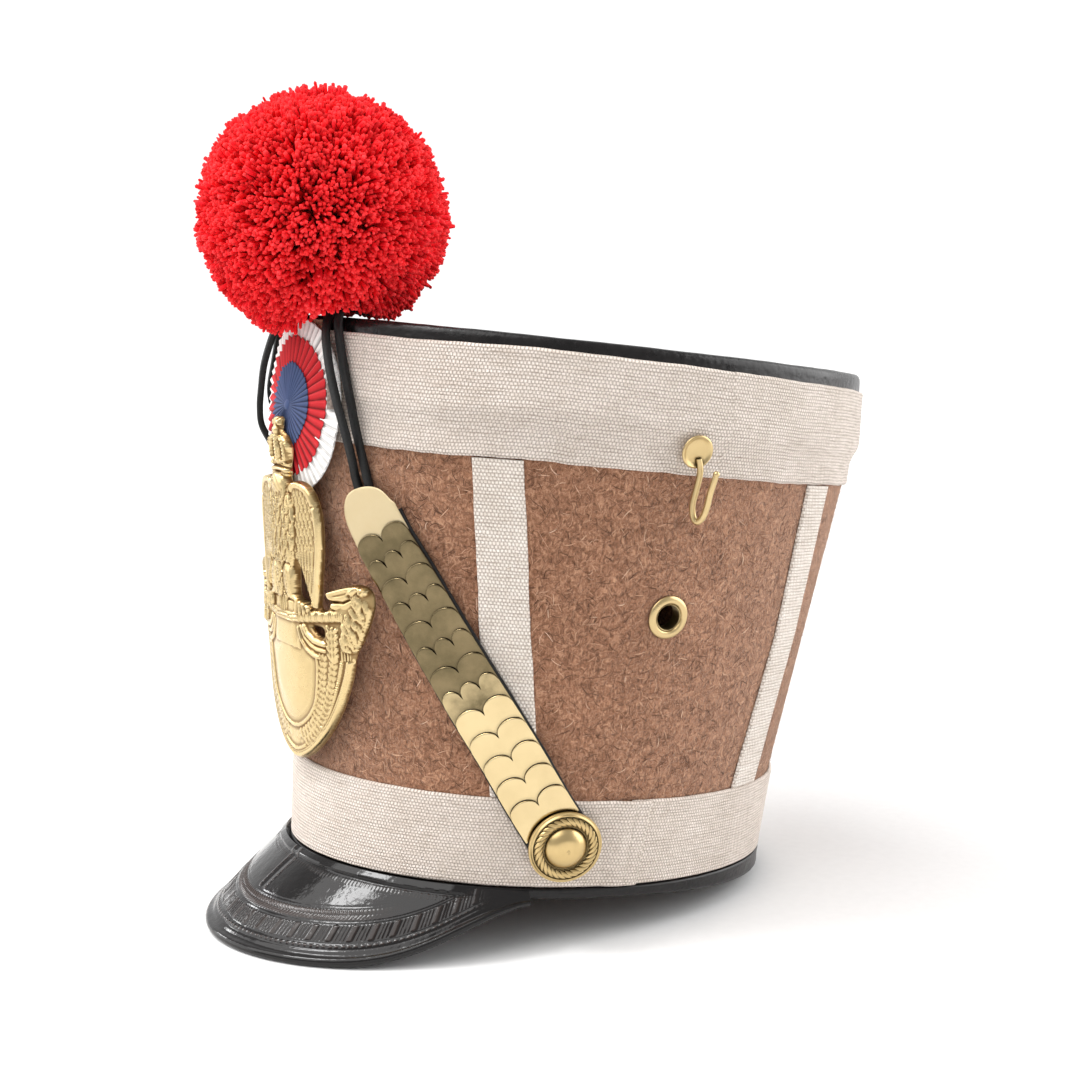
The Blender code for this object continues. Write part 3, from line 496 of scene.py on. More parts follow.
sun = bpy.data.objects.new("key", bpy.data.lights.new("key", "SUN"))
sun.data.energy, sun.data.angle = 2.25, math.radians(62)
sun.data.color = (1.0, 0.99, 0.98)
a, e = math.radians(-2), math.radians(57)
sun.rotation_mode = "QUATERNION"
sun.rotation_quaternion = Vector((-math.sin(a) * math.cos(e), math.cos(a) * math.cos(e), -math.sin(e))).to_track_quat("-Z", "Y")
bpy.context.scene.collection.objects.link(sun)
for word, turn_, up_, power, spread in (("rear", 158, 20, 2.5, 60), ("front_left", -42, 14, 1.15, 50)):
    soft = bpy.data.objects.new(word, bpy.data.lights.new(word, "SUN"))
    soft.data.energy, soft.data.angle = power, math.radians(spread)
    a, e = math.radians(turn_), math.radians(up_)
    soft.rotation_mode = "QUATERNION"
    soft.rotation_quaternion = Vector((-math.sin(a) * math.cos(e), math.cos(a) * math.cos(e), -math.sin(e))).to_track_quat("-Z", "Y")
    bpy.context.scene.collection.objects.link(soft)


for word, aim, way, far, size, power in (
        ("panel", (0.04, -0.10, 0.02), (-0.15, -0.45, 0.88), 1.5, 0.40, 8.0),
        ("panel_low", (0.03, -0.11, 0.02), (-0.80, -0.42, 0.42), 1.4, 0.20, 1.6)):
    data = bpy.data.lights.new(word, "AREA")
    data.shape, data.size, data.energy = "DISK", size, power
    lit = bpy.data.objects.new(word, data)
    way = Vector(way).normalized()
    lit.location = Vector(aim) + way * far
    lit.rotation_mode = "QUATERNION"
    lit.rotation_quaternion = (-way).to_track_quat("-Z", "Y")
    bpy.context.scene.collection.objects.link(lit)


# ---------------------------------------------------------------- felt
def felt_look(name):
    k = Look(name, (0.30, 0.14, 0.08), 0.95, Sheen_Weight=0.55, Sheen_Roughness=0.4,
             Sheen_Tint=(1.0, 0.84, 0.72, 1.0), Specular_IOR_Level=0.15)
    broad = k.noise(38.0, 3.0)
    tuft = k.noise(430.0, 6.0, 0.72, distortion=1.4)
    fine = k.noise(1500.0, 3.0, 0.6, stretch=(1.0, 1.0, 0.35))
    both = k.math("ADD", k.math("MULTIPLY", tuft, 0.75), k.math("MULTIPLY", fine, 0.25))
    tone = k.ramp(both, (0.34, (0.085, 0.036, 0.020)), (0.43, (0.235, 0.110, 0.062)),
                  (0.51, (0.375, 0.182, 0.106)), (0.62, (0.60, 0.340, 0.210)))
    shade = k.ramp(broad, (0.3, (0.88, 0.86, 0.84)), (0.7, (1.06, 1.05, 1.04)))
    k.set(Base_Color=k.mix(1.0, tone, shade, "MULTIPLY"),
          Normal=k.bump(both, 1.0, 1.5), Roughness=k.range(both, 0.3, 0.7, 0.98, 0.85))
    return k


def fibre_look(name):
    """Fibres take their tone from a value kept with each one."""
    k = Look(name, (0.42, 0.22, 0.14), 0.75, Sheen_Weight=0.3, Sheen_Roughness=0.4,
             Sheen_Tint=(1.0, 0.85, 0.72, 1.0), Specular_IOR_Level=0.3)
    u = k.node("SeparateXYZ", 0, Vector=k.cloth())
    k.set(Base_Color=k.ramp(u, (0.0, (0.070, 0.030, 0.017)), (0.35, (0.225, 0.105, 0.060)),
                            (0.7, (0.47, 0.245, 0.145)), (0.92, (0.66, 0.41, 0.27)),
                            (1.0, (0.80, 0.58, 0.43))))
    return k


FELT_LOOK = felt_look("brown_felt")
FIBRE_LOOK = fibre_look("felt_hair")
rng = np.random.default_rng(7)

turns = 240
ang = np.arange(turns) * 360.0 / turns
outer_z = np.concatenate([[0.0, 18.0, 33.0], np.linspace(35.6, 163.0, 56), [178.0, 190.0]])
inner_z = np.concatenate([np.linspace(0.0, 190.0, 44)])
top = rim_z(ang) - 4.8
cols = [skin(ang, z, 0.10 * wave(ang * 3 + z * 0.2, 1.0, 2.0) if 36 < z < 162 else 0.0) for z in outer_z]
cols.append(skin(ang, top, 0.0))
cols.append(skin(ang, top, -FELT))
cols += [skin(ang, z, -FELT) for z in inner_z[::-1]]
P = np.stack(cols, 1)
F = quads(P.shape[0], P.shape[1], wrap_n=True, wrap_m=True)
C = P.reshape(-1, 3)[F].mean(1)
keep = np.ones(len(F), bool)
for side in (1, -1):
    spot = skin(*EYELET, 0, side).ravel()
    far = np.linalg.norm((C - spot)[:, 1:], axis=-1)
    keep &= ~((far < 7.0) & (np.sign(C[:, 0] - 2) == side))
build("felt_wall", P, F[keep], FELT_LOOK.m, instead=["felt_body"])


def fibres(name, count, seed, spread, long, wide, lift, material):
    """Short curled ribbons that lie on the felt. spread(rng, n) gives degrees, z and base height."""
    r = np.random.default_rng(seed)
    deg, z, base, side = spread(r, count)
    seg = 4
    away = np.ones(count, bool)
    for s_ in (1, -1):
        gap_ = np.linalg.norm(skin(deg, z, 0, 1) - skin(*EYELET, 0, s_).reshape(1, 3), axis=-1)
        away &= gap_ > 9.4
    deg, z, base, count = deg[away], z[away], np.broadcast_to(base, away.shape)[away], int(away.sum())
    a, u, n = skin_frame(deg, z, 1)
    start = skin(deg, z, 0, 1)
    turn0 = r.uniform(0, math.tau, count)
    curl = r.normal(0, 1.0, count) * 0.75
    size = r.uniform(*long, count)
    wid = r.uniform(*wide, count)
    tall = r.uniform(*lift, count)
    pts = np.zeros((count, seg, 2, 3))
    for i in range(seg):
        t = i / (seg - 1)
        heading = turn0 + curl * (t - 0.5) * 2
        s = (t - 0.5) * size
        # arc of the fibre in the wall's plane
        bend = curl * 0.55 * size * ((t - 0.5) ** 2)
        x = s * np.cos(turn0) - bend * np.sin(turn0)
        y = s * np.sin(turn0) + bend * np.cos(turn0)
        h = base + tall * (4 * t * (1 - t)) + 0.06
        w = wid * (0.5 if i in (0, seg - 1) else 1.0) / 2
        mid = start + a * x[:, None] + u * y[:, None] + n * h[:, None]
        off = (-a * np.sin(heading)[:, None] + u * np.cos(heading)[:, None]) * w[:, None]
        pts[:, i, 0], pts[:, i, 1] = mid - off, mid + off
    one = quads(seg, 2)
    f = (one[None] + (np.arange(count) * seg * 2)[:, None, None]).reshape(-1, 4)
    tone = np.clip(r.beta(1.2, 1.5, count), 0, 1)
    uv = np.zeros((count, seg * 2, 2))
    uv[:, :, 0] = tone[:, None]
    return build(name, pts.reshape(-1, 3), f, material, uv=uv, smooth_angle=0)


def on_wall(r, n):
    return r.uniform(0, 360, n), r.uniform(36.2, 162.6, n), np.zeros(n), 1


fibres("felt_hair_fine", 10800, 11, on_wall, (2.4, 5.2), (0.16, 0.34), (0.05, 0.45), FIBRE_LOOK.m)
fibres("felt_hair_loose", 2600, 12, on_wall, (4.0, 8.5), (0.11, 0.20), (0.3, 1.15), FIBRE_LOOK.m)


# ---------------------------------------------------------------- canvas
def canvas_look(name, pitch, colour=(0.875, 0.80, 0.715), selvedge=None):
    k = Look(name, colour, 0.92, Sheen_Weight=0.15, Sheen_Roughness=0.5, Specular_IOR_Level=0.15)
    xyz = k.t.nodes.new("ShaderNodeSeparateXYZ")
    k.t.links.new(k.cloth(), xyz.inputs[0])
    u, v = xyz.outputs[0], xyz.outputs[1]
    sway = k.noise(0.55, 2.0, at=k.cloth())
    sway2 = k.noise(0.9, 2.0, at=k.cloth(), stretch=(0.12, 1.6, 1.0))
    uu = k.math("ADD", k.math("MULTIPLY", u, 1 / pitch), k.math("MULTIPLY", sway, 0.7))
    vv = k.math("ADD", k.math("MULTIPLY", v, 1 / (pitch * 0.93)), k.math("MULTIPLY", sway2, 0.8))
    row = k.math("FLOOR", vv)
    a = k.math("ABSOLUTE", k.math("SINE", k.math("MULTIPLY", k.math(
        "ADD", uu, k.math("MULTIPLY", row, 0.5)), math.pi)))
    b = k.math("ABSOLUTE", k.math("SINE", k.math("MULTIPLY", vv, math.pi)))
    knot = k.math("MULTIPLY", k.math("POWER", a, 0.6), k.math("POWER", b, 0.5))
    slub = k.ramp(k.noise(1.0, 3.0, 0.6, at=k.cloth(), stretch=(0.10, 0.9, 1.0)), (0.36, 0.62), (0.64, 1.0))
    slub2 = k.ramp(k.noise(1.0, 3.0, 0.6, at=k.cloth(), stretch=(0.9, 0.08, 1.0)), (0.36, 0.72), (0.64, 1.0))
    height = k.math("MULTIPLY", knot, k.math("MULTIPLY", slub, slub2))
    fuzz = k.noise(3.2, 4.0, 0.7, at=k.cloth())
    height = k.math("ADD", height, k.math("MULTIPLY", fuzz, 0.25))
    # painted shade and highlight: the weave's colour follows its height, darker in its hollows and lighter on its knots
    tone = k.ramp(height, (0.12, tuple(c * f for c, f in zip(colour, (0.42, 0.38, 0.34)))),
                  (0.42, tuple(c * f for c, f in zip(colour, (0.80, 0.78, 0.75)))),
                  (0.90, tuple(min(1.0, c * f) for c, f in zip(colour, (1.16, 1.17, 1.18)))))
    broad = k.ramp(k.noise(0.045, 3.0, at=k.cloth()), (0.32, (0.93, 0.92, 0.905)), (0.68, (1.02, 1.02, 1.02)))
    fleck = k.ramp(k.noise(0.8, 1.0, at=k.cloth(), stretch=(0.35, 1.0, 1.0)), (0.765, 0.0), (0.80, 1.0))
    colour_ = k.mix(1.0, tone, broad, "MULTIPLY")
    colour_ = k.mix(k.math("MULTIPLY", fleck, 0.55), colour_, (0.42, 0.30, 0.20))
    k.set(Base_Color=colour_, Normal=k.bump(height, 1.0, 0.60))
    return k


CANVAS_TOP = canvas_look("canvas_band_upper", 1.36, (0.80, 0.715, 0.655))
CANVAS_LOW = canvas_look("canvas_band_lower", 1.34, (0.82, 0.73, 0.665))
CANVAS_TAPE = canvas_look("canvas_tape", 1.40, (0.89, 0.80, 0.735))
mean_r = lambda z: (np.interp(z, WZ, WD) + np.interp(z, WZ, WW)) / 2


def ellipse_run(count, z):
    """Angles all the way round and the distance travelled at each, at height z."""
    a = np.linspace(0.0, 360.0, count + 1)
    p = skin(a, z)
    d = np.concatenate([[0], np.cumsum(np.linalg.norm(np.diff(p, axis=0), axis=1))])
    return a, d


# upper band: a cloth ring with rolled edges, stretched over the crown's skirt
a, run = ellipse_run(360, 180)
prof = []    # position up the band, off the wall
up_path = ((0.0, 0.65), (9.0, 0.45), (12.5, 1.15), (15.2, 2.45), (18.0, 3.2), (40.0, 3.2))
fall = np.concatenate([[0.0, 0.25, 0.7], np.linspace(1.4, 38.6, 30), [39.3, 39.75, 40.0]])
px, py = (np.array(c) for c in zip(*up_path))
outer, inner, vs = [], [], []
low, high = TOP_BAND_LOW - dip(a), TOP_BAND_HIGH - dip(a)
low = low + 0.30 * wave(run, 0.3, 9.0) + 0.12 * wave(run, 2.3, 2.2)
high = high + 0.22 * wave(run, 1.3, 11.0)
for f in fall:
    t = f / 40.0
    z = low + (high - low) * t
    rise = np.interp(f, px, py)
    thick = CANVAS * (1.0 - 0.75 * (1 - min(1.0, min(f, 40 - f) / 0.8)) ** 2)
    ripple = 0.10 * wave(run + 3 * t, 0.9, 13.0) * smooth((12 - abs(f - 8)) / 12)
    hem = 0.16 * smooth(1 - abs(f - 1.2) / 1.6) + 0.18 * smooth(1 - abs(f - 38.6) / 1.8)
    outer.append(skin(a, z, rise + thick + ripple * 0.5 + hem))
    inner.append(skin(a, z, rise))
    vs.append(np.stack([run, np.full(len(a), f)], -1))
P = np.stack(outer + inner[::-1], 1)
UV = np.stack(vs + vs[::-1], 1)
top_band = build("upper_band_cloth", P, quads(P.shape[0], P.shape[1], wrap_m=True), CANVAS_TOP.m, uv=UV,
                 instead=["top_band"])

# lower band: its end is lapped over its start on the wearer's left
end = SEAM + 360.0
a = np.unique(np.concatenate([np.arange(SEAM - SEAM_LAP, end, 1.0), np.linspace(end - 10, end, 46),
                              [SEAM - SEAM_LAP, end]]))
p = skin(a, 18)
run = np.concatenate([[0], np.cumsum(np.linalg.norm(np.diff(p, axis=0), axis=1))])
climb = smooth((a - (end - 9.5)) / (9.5 - SEAM_LAP - 0.4))
near = GAP + climb * (CANVAS + GAP)
low = 0.2 + 0.05 * wave(run, 0.7, 9.0)
high = BASE_BAND_TOP - 0.22 * dip(a) + 0.12 * wave(run, 1.9, 8.0) * (1 - climb)
outer, inner, vs = [], [], []
fall = np.concatenate([[0.0, 0.25, 0.7], np.linspace(1.4, 34.0, 24), [34.8, 35.2, 35.4]])
fold = np.clip((end - a) * 1.55, 0, 8)            # mm from the lapped end
start_in = np.clip((a - a[0]) * 1.55, 0, 8)
for f in fall:
    t = f / 35.4
    z = low + (high - low) * t
    edge = 1.0 - 0.75 * (1 - min(1.0, min(f, 35.4 - f) / 0.8)) ** 2
    ends = 1.0 - 0.8 * (1 - np.clip(fold / 0.7, 0, 1)) ** 2 - 0.8 * (1 - np.clip(start_in / 0.7, 0, 1)) ** 2
    thick = CANVAS * edge * np.clip(ends, 0.2, 1)
    turned_in = 0.20 * smooth(1 - abs(fold - 2.6) / 2.4)      # doubled edge of the lap
    groove = -0.32 * np.exp(-((fold - 5.4) / 0.5) ** 2)         # line of stitches beside it
    hem = 0.10 * smooth(1 - abs(f - 1.2) / 1.6) + 0.14 * smooth(1 - abs(f - 34.0) / 1.8)
    outer.append(skin(a, z, near + thick + (turned_in + groove) * edge * (a > end - 10) + hem))
    inner.append(skin(a, z, near))
    vs.append(np.stack([run, np.full(len(a), f + 50.0)], -1))
P = np.stack(outer + inner[::-1], 1)
UV = np.stack(vs + vs[::-1], 1)
n, m = P.shape[:2]
F = [quads(n, m, wrap_m=True), np.arange(m)[None, ::-1], np.arange((n - 1) * m, n * m)[None]]
base_band = build("lower_band_cloth", P, F, CANVAS_LOW.m, uv=UV, instead=["base_band"])

# stitches of the lap
def stitches(name, line, normals, pitch, length, radius, material, sink=0.0):
    """Short thread loops along a line: each an arc that dips into the cloth at both ends."""
    line = np.asarray(line, float)
    d = np.concatenate([[0], np.cumsum(np.linalg.norm(np.diff(line, axis=0), axis=1))])
    parts_ = []
    count = max(1, int(d[-1] / pitch))
    for i in range(count):
        s0 = (i + 0.5) * d[-1] / count - length / 2
        s = s0 + np.linspace(0, length, 5)
        c = np.stack([np.interp(s, d, line[:, k]) for k in range(3)], -1)
        nn = np.stack([np.interp(s, d, normals[:, k]) for k in range(3)], -1)
        arch = np.array([-0.6, 0.35, 0.6, 0.35, -0.6])[:, None] * radius
        parts_.append((*swept(c + nn * (arch - sink), nn, circle(radius, 5)), None))
    pts_, f_, _ = merged(parts_)
    return build(name, pts_, f_, material, smooth_angle=60)


THREAD = Look("cream_thread", (0.80, 0.74, 0.66), 0.8)
THREAD.set(Base_Color=THREAD.ramp(THREAD.noise(900.0, 2.0), (0.35, (0.66, 0.60, 0.52)), (0.65, (0.86, 0.80, 0.73))))
for tag, off in (("one", 0.55), ("two", 3.4)):
    zz = np.linspace(2.0, 34.0, 40)
    dd = np.full(40, SEAM - off)
    nn = skin_frame(dd, zz)[2]
    stitches(f"lap_stitches_{tag}", skin(dd, zz, GAP * 2 + CANVAS * 2 + 0.18 + (0.14 if tag == "one" else -0.28)), nn, 2.6, 1.9,
             0.17, THREAD.m)

# strips: woven tape with firm edges
for side, word in ((1, "left"), (-1, "right")):
    for place_, line in STRIPS.items():
        lz, ld = (np.array(c) for c in zip(*line))
        zz = np.linspace(BASE_BAND_TOP + 0.35, TOP_BAND_LOW - 0.35, 70)
        mid = np.interp(zz, lz, ld)
        step = np.linalg.norm(skin(mid + 1, zz, 0, side) - skin(mid - 1, zz, 0, side), axis=-1) / 2
        across = np.concatenate([[-1.0, -0.985, -0.95], np.linspace(-0.9, 0.9, 13), [0.95, 0.985, 1.0]])
        t = (zz - zz[0]) / (zz[-1] - zz[0])
        outer, inner, uvs = [], [], []
        for c in across:
            edge_wave = 0.20 * wave(zz, 0.5 * side + (1 if c > 0 else 3), 7.0)
            w = c * STRIP_WIDTH / 2 + edge_wave * abs(c)
            d_ = mid + w / step
            zc = zz - t * dip(d_)
            lip = 0.16 * smooth(1 - abs(abs(c) - 0.88) / 0.10)
            thick = STRIP_THICK * (1.0 - 0.8 * (1 - min(1.0, (1 - abs(c)) * 9.5 / 0.7)) ** 2) + lip
            outer.append(skin(d_, zc, GAP + 0.05 + thick, side))
            inner.append(skin(d_, zc, GAP + 0.05, side))
            uvs.append(np.stack([np.full(len(zz), w), zz + 40 * side], -1))
        P = np.stack(outer + inner[::-1], 1)
        UV = np.stack(uvs + uvs[::-1], 1)
        n, m = P.shape[:2]
        F = [quads(n, m, wrap_m=True, flip=side > 0), np.arange(m)[None], np.arange((n - 1) * m, n * m)[None, ::-1]]
        if side < 0:
            F = [f if i == 0 else f[:, ::-1] for i, f in enumerate(F)]
        tape = build(f"tape_{word}_{place_}", P, F, CANVAS_TAPE.m, uv=UV,
                     instead=[f"strip_{word}_{place_}"])
        float(np.linalg.norm(np.diff(skin(mid, zz, 0.9, side), axis=0), axis=-1).sum())


# ---------------------------------------------------------------- leather
def leather_look(name, rough=(0.28, 0.5), colour=(0.008, 0.007, 0.007), grain=700.0, depth=0.18, coat=0.0,
                 worn=0.25, crease=0.0):
    k = Look(name, colour, sum(rough) / 2, Coat_Weight=coat, Coat_Roughness=0.12, Specular_IOR_Level=0.28)
    cell = k.node("TexVoronoi", 0, {"feature": "SMOOTH_F1"}, Vector=k.place(), Scale=grain)
    pores = k.noise(grain * 1.7, 3.0)
    height = k.math("ADD", cell, k.math("MULTIPLY", pores, 0.6))
    normal = k.bump(height, 0.5, depth)
    if crease:
        lines = k.noise(70.0, 4.0, 0.6, stretch=(1.0, 1.0, 3.5), distortion=1.2)
        normal = k.bump(lines, crease, 1.2, before=normal)
    broad = k.noise(60.0, 4.0)
    tone = k.ramp(k.math("ADD", k.math("MULTIPLY", broad, 0.5), k.math("MULTIPLY", height, 0.35)),
                  (0.35, tuple(c * 0.75 for c in colour)), (0.75, tuple(c * (1.0 + worn * 3.2) for c in colour)))
    k.set(Base_Color=tone, Normal=normal, Roughness=k.range(broad, 0.3, 0.7, rough[0], rough[1]))
    return k


CROWN = leather_look("crown_calf", (0.22, 0.36), grain=420.0, depth=0.34, crease=0.16)
BINDING = leather_look("binding_calf", (0.24, 0.42), grain=600.0, depth=0.14, crease=0.22)
LACING = leather_look("lace_calf", (0.50, 0.68), (0.006, 0.006, 0.006), grain=1500.0, depth=0.20, worn=0.5)
BACKING = leather_look("strap_calf", (0.35, 0.55), grain=900.0, depth=0.12)

# crown: the rim rolls over into the skirt under the band
n_a = 240
a = np.arange(n_a) * 360.0 / n_a
top = rim_z(a)
roll = [(-5.0, -1.6), (-1.8, -0.4), (0.3, 0.0), (1.9, -0.7), (2.7, -2.4), (2.9, -5.0)]
fine = curve_through(roll, 22)
rings, middle = [], (SIDE_LEAN * 1.3, 2.4)
soft = 0.10 * wave(a * 2.1, 0.4, 8.0)
for fr in (0.12, 0.3, 0.5, 0.68, 0.82, 0.9, 0.955):
    ring = skin(a, top - 1.6, -5.0)
    hub = np.array([middle[0], middle[1], 0.0])
    p = hub + (ring - hub) * np.array([fr, fr, 1.0])
    p[:, 2] = ring[:, 2] * fr + (RIM_TOP - 2.6 + CROWN_TILT * 1.3 * 2.4 + 2.4 * 0) * (1 - fr) \
        - 0.25 * np.cos(a * math.pi / 60 + fr * 9) * fr * (1 - fr)
    rings.append(p)
for out, dz in fine:
    rings.append(skin(a, top + dz + soft * (dz > -3), out + soft * 0.4))
rings.append(skin(a, SKIRT_LOW + 12, SKIRT_OUT))
rings.append(skin(a, SKIRT_LOW, SKIRT_OUT))
rings.append(skin(a, SKIRT_LOW, GAP))
rings.append(skin(a, top - 3.3, 0.3))
rings.append(skin(a, top - 4.6, -5.0))
ring = skin(a, top - 5.0, -40.0)
rings.append(ring)
P = np.stack(rings, 1)
m = P.shape[1]
centre_top = P[:, 0].mean(0)
centre_low = P[:, -1].mean(0)
pts_ = np.vstack([P.reshape(-1, 3), centre_top, centre_low])
F = [quads(n_a, m, wrap_n=True, flip=True)]
ids = np.arange(n_a) * m
F.append(fan(ids, len(pts_) - 2))
F.append(fan(ids + m - 1, len(pts_) - 1, flip=True))
build("crown_leather_top", pts_, F, CROWN.m, instead=["crown_top"])

# binding below the lower band, a soft roll
n_a = 260
a = np.arange(n_a) * 360.0 / n_a
low = -4.6 + (REAR_Z + 4.6) * np.maximum(0.0, np.sin(np.radians(a)))
w1 = 0.10 * wave(a * 2.1, 0.2, 4.0)
prof = []
for out, z, k in ((-3.0, -0.35, 0), (0.6, -0.35, 0), (1.2, -0.45, 0), (1.5, -0.8, 0), (1.6, -1.4, .5)):
    prof.append(skin(a, np.full(n_a, z), out + w1 * k * 0.0))
for t in (0.25, 0.5, 0.75):
    prof.append(skin(a, -1.4 + (low + 2.3 + 1.4) * t, 1.6 + (w1 - 0.1)))
for dz, out in ((2.3, 1.55), (1.2, 1.35), (0.5, 0.9), (0.1, 0.3), (0.0, -0.6), (0.0, -1.6), (0.3, -2.3),
                (0.9, -2.8), (1.8, -3.0)):
    prof.append(skin(a, low + dz, out))
P = np.stack(prof, 1)
build("binding_roll", P, quads(n_a, P.shape[1], wrap_n=True, wrap_m=True, flip=True), BINDING.m,
      instead=["base_binding"])


# ---------------------------------------------------------------- peak
def patent_look(name):
    k = Look(name, (0.010, 0.008, 0.008), 0.14, Coat_Weight=0.22, Coat_Roughness=0.05, Specular_IOR_Level=0.22)
    mottle = k.noise(75.0, 4.0, 0.6)
    fine = k.noise(520.0, 3.0)
    wear = k.node("SeparateXYZ", 0, Vector=k.cloth())
    tone = k.ramp(wear, (0.0, (0.009, 0.008, 0.008)), (0.5, (0.026, 0.017, 0.014)), (1.0, (0.055, 0.036, 0.029)))
    k.set(Base_Color=tone,
          Normal=k.bump(fine, 0.10, 0.10, before=k.bump(mottle, 0.60, 1.0)),
          Roughness=k.math("ADD", k.range(mottle, 0.3, 0.7, 0.06, 0.16), k.math("MULTIPLY", wear, 0.16)))
    return k


PATENT = patent_look("patent_leather")


def surface_z(y):
    return REAR_Z - math.tan(LEAN) * (REAR_Y - y)


PEAK_N1 = 221       # stations round the peak
PEAK_N2 = 92        # from the hat to the edge


def peak_rows():
    """For each station: inner point, outer (bead middle), way out, up, bead radius, half thickness."""
    rows_ = []
    for i in range(PEAK_N1):
        s = i / (PEAK_N1 - 1)
        t = math.pi * s
        c, n = math.cos(t), 2.0 / PEAK_N
        x = PEAK_W * math.copysign(abs(c) ** n, c)
        y = PEAK_Y - PEAK_L * abs(math.sin(t)) ** n
        rise = (PEAK_END_Z - surface_z(PEAK_Y)) * abs(c) ** PEAK_RISE_N
        radius = BEAD_R * (0.55 + 0.45 * float(smooth(math.sin(math.pi * s) / 0.35)))
        inner = skin(PEAK_START - (180 + 2 * PEAK_START) * s, -1.2, 2.1).ravel()
        outer = np.array([x, y, surface_z(y) + rise + radius / math.cos(LEAN)])
        flat = np.array([outer[0] - inner[0], outer[1] - inner[1], 0])
        least = 1.6 * radius + 0.7
        if np.linalg.norm(flat) < least:
            way = unit(np.array([inner[0], inner[1], 0]))
            outer = outer + way * (least - np.linalg.norm(flat))
        run_ = outer - inner
        sideways = unit(np.array([inner[1], -inner[0], 0]))
        up = unit(np.cross(sideways, run_))
        if up[2] < 0:
            up = -up
        L = np.linalg.norm(run_)
        half = PEAK_THICK / 2 * min(1.0, 0.5 + L / 30)
        rows_.append((inner, outer, run_, up, radius, half, 1.0 * min(1.0, L / 40), L))
    return rows_


ROWS_PEAK = peak_rows()
edge_run = np.concatenate([[0], np.cumsum([np.linalg.norm(b[1] - a_[1]) for a_, b in
                                           zip(ROWS_PEAK, ROWS_PEAK[1:])])])
EDGE_LONG = edge_run[-1]


def emboss(s_mm, d_edge, L, frac):
    """Stamped lines of the peak, in mm of height. s_mm round the edge from its middle,
    d_edge from the bead's middle, L the peak's width here. Returns height and wear tone."""
    h = np.zeros_like(d_edge)
    wear = np.zeros_like(d_edge)

    def groove(x, w, depth, tone=0.0):
        g = np.exp(-((x / w) ** 2))
        return -depth * g, tone * g

    def ridge(x, w, height_, tone=0.0):
        g = np.exp(-((x / w) ** 2))
        return height_ * g, tone * g

    enough = smooth((L - 30) / 14)
    for x, w, dep in ((d_edge - 4.6, 0.35, 0.22),):
        g, _ = groove(x, w, dep)
        h += g
    # dashed line of stitches just inside the bead
    dash = smooth((np.sin(s_mm * math.tau / 2.6) + 0.35) / 0.5)
    g, tt = ridge(d_edge - 5.9, 0.32, 0.26, 0.75)
    h += g * dash
    wear += tt * dash
    g, _ = groove(d_edge - 7.2, 0.3, 0.20)
    h += g
    # ring of fine grooves in groups, between two lines
    band = smooth((d_edge - 7.9) / 0.5) * smooth((15.1 - d_edge) / 0.5)
    period = 8.6
    ph = (s_mm / period) % 1.0
    comb = np.where((ph > 0.12) & (ph < 0.88), np.cos((ph - 0.12) / 0.76 * math.tau * 4), 1.0)
    bars = np.where((ph <= 0.12) | (ph >= 0.88), 1.0, 0.0)
    h += band * (0.17 * comb - 0.10) * (1 - bars) + band * bars * 0.18
    wear += band * 0.22 * (0.5 + 0.5 * comb) + band * bars * 0.15
    for at, dep in ((7.9, 0.12), (15.4, 0.24), (16.6, 0.20)):
        g, _ = groove(d_edge - at, 0.30, dep)
        h += g
    # hatched double border: slanting strokes that meet
    for at, sign in ((18.2, 1), (20.6, -1)):
        lane = smooth((1.25 - np.abs(d_edge - at)) / 0.35)
        stroke = np.cos((s_mm * math.tau / 1.75) + sign * (d_edge - at) * 1.9)
        h += lane * 0.15 * stroke * enough
        wear += lane * (0.55 + 0.25 * stroke) * enough
    for at, dep in ((19.4, 0.16), (21.9, 0.24), (23.2, 0.16)):
        g, _ = groove(d_edge - at, 0.28, dep)
        h += g * enough
    # line of stitches along the hat, and the folded strip above it
    d_in = L - d_edge
    dash2 = smooth((np.sin(s_mm * math.tau / 1.9) + 0.3) / 0.5)
    for at in (5.0, 6.2):
        g, tt = ridge(d_in - at, 0.25, 0.16, 0.30)
        h += g * dash2
        wear += tt * dash2
    h += 1.15 * smooth((3.4 - d_in) / 0.7) * smooth((L - 12) / 10)
    g, _ = groove(d_in - 3.9, 0.4, 0.18)
    h += g
    # two stitched lines down the middle
    mid = smooth((d_edge - 23.6) / 1.0)
    for at in (-2.1, 2.1):
        x = s_mm * (0.35 + 0.65 * np.clip(d_edge * 0 + 1, 0, 1)) * (1 - 0.30 * frac) - at
        g, tt = ridge(x, 0.45, 0.26, 0.55)
        dd = smooth((np.sin(d_edge * math.tau / 2.2) + 0.4) / 0.5)
        h += g * mid * (0.5 + 0.5 * dd)
        wear += tt * mid * dd
    g, _ = groove(s_mm * (1 - 0.30 * frac), 0.8, 0.22)
    h += g * mid
    return h, np.clip(wear, 0, 1)


# the grid is finer near the edge, where the stamped ring is
f_in = np.concatenate([np.linspace(0, 0.30, 18, endpoint=False), np.linspace(0.30, 1.0, PEAK_N2 - 18)])
PEAK_FINE = 570
s_fine = np.linspace(0, 1, PEAK_FINE)
s_old = np.linspace(0, 1, PEAK_N1)


def on_rows(k):
    data_ = np.array([np.atleast_1d(r[k]) for r in ROWS_PEAK], float)
    return np.stack([np.interp(s_fine, s_old, data_[:, j]) for j in range(data_.shape[1])], -1)


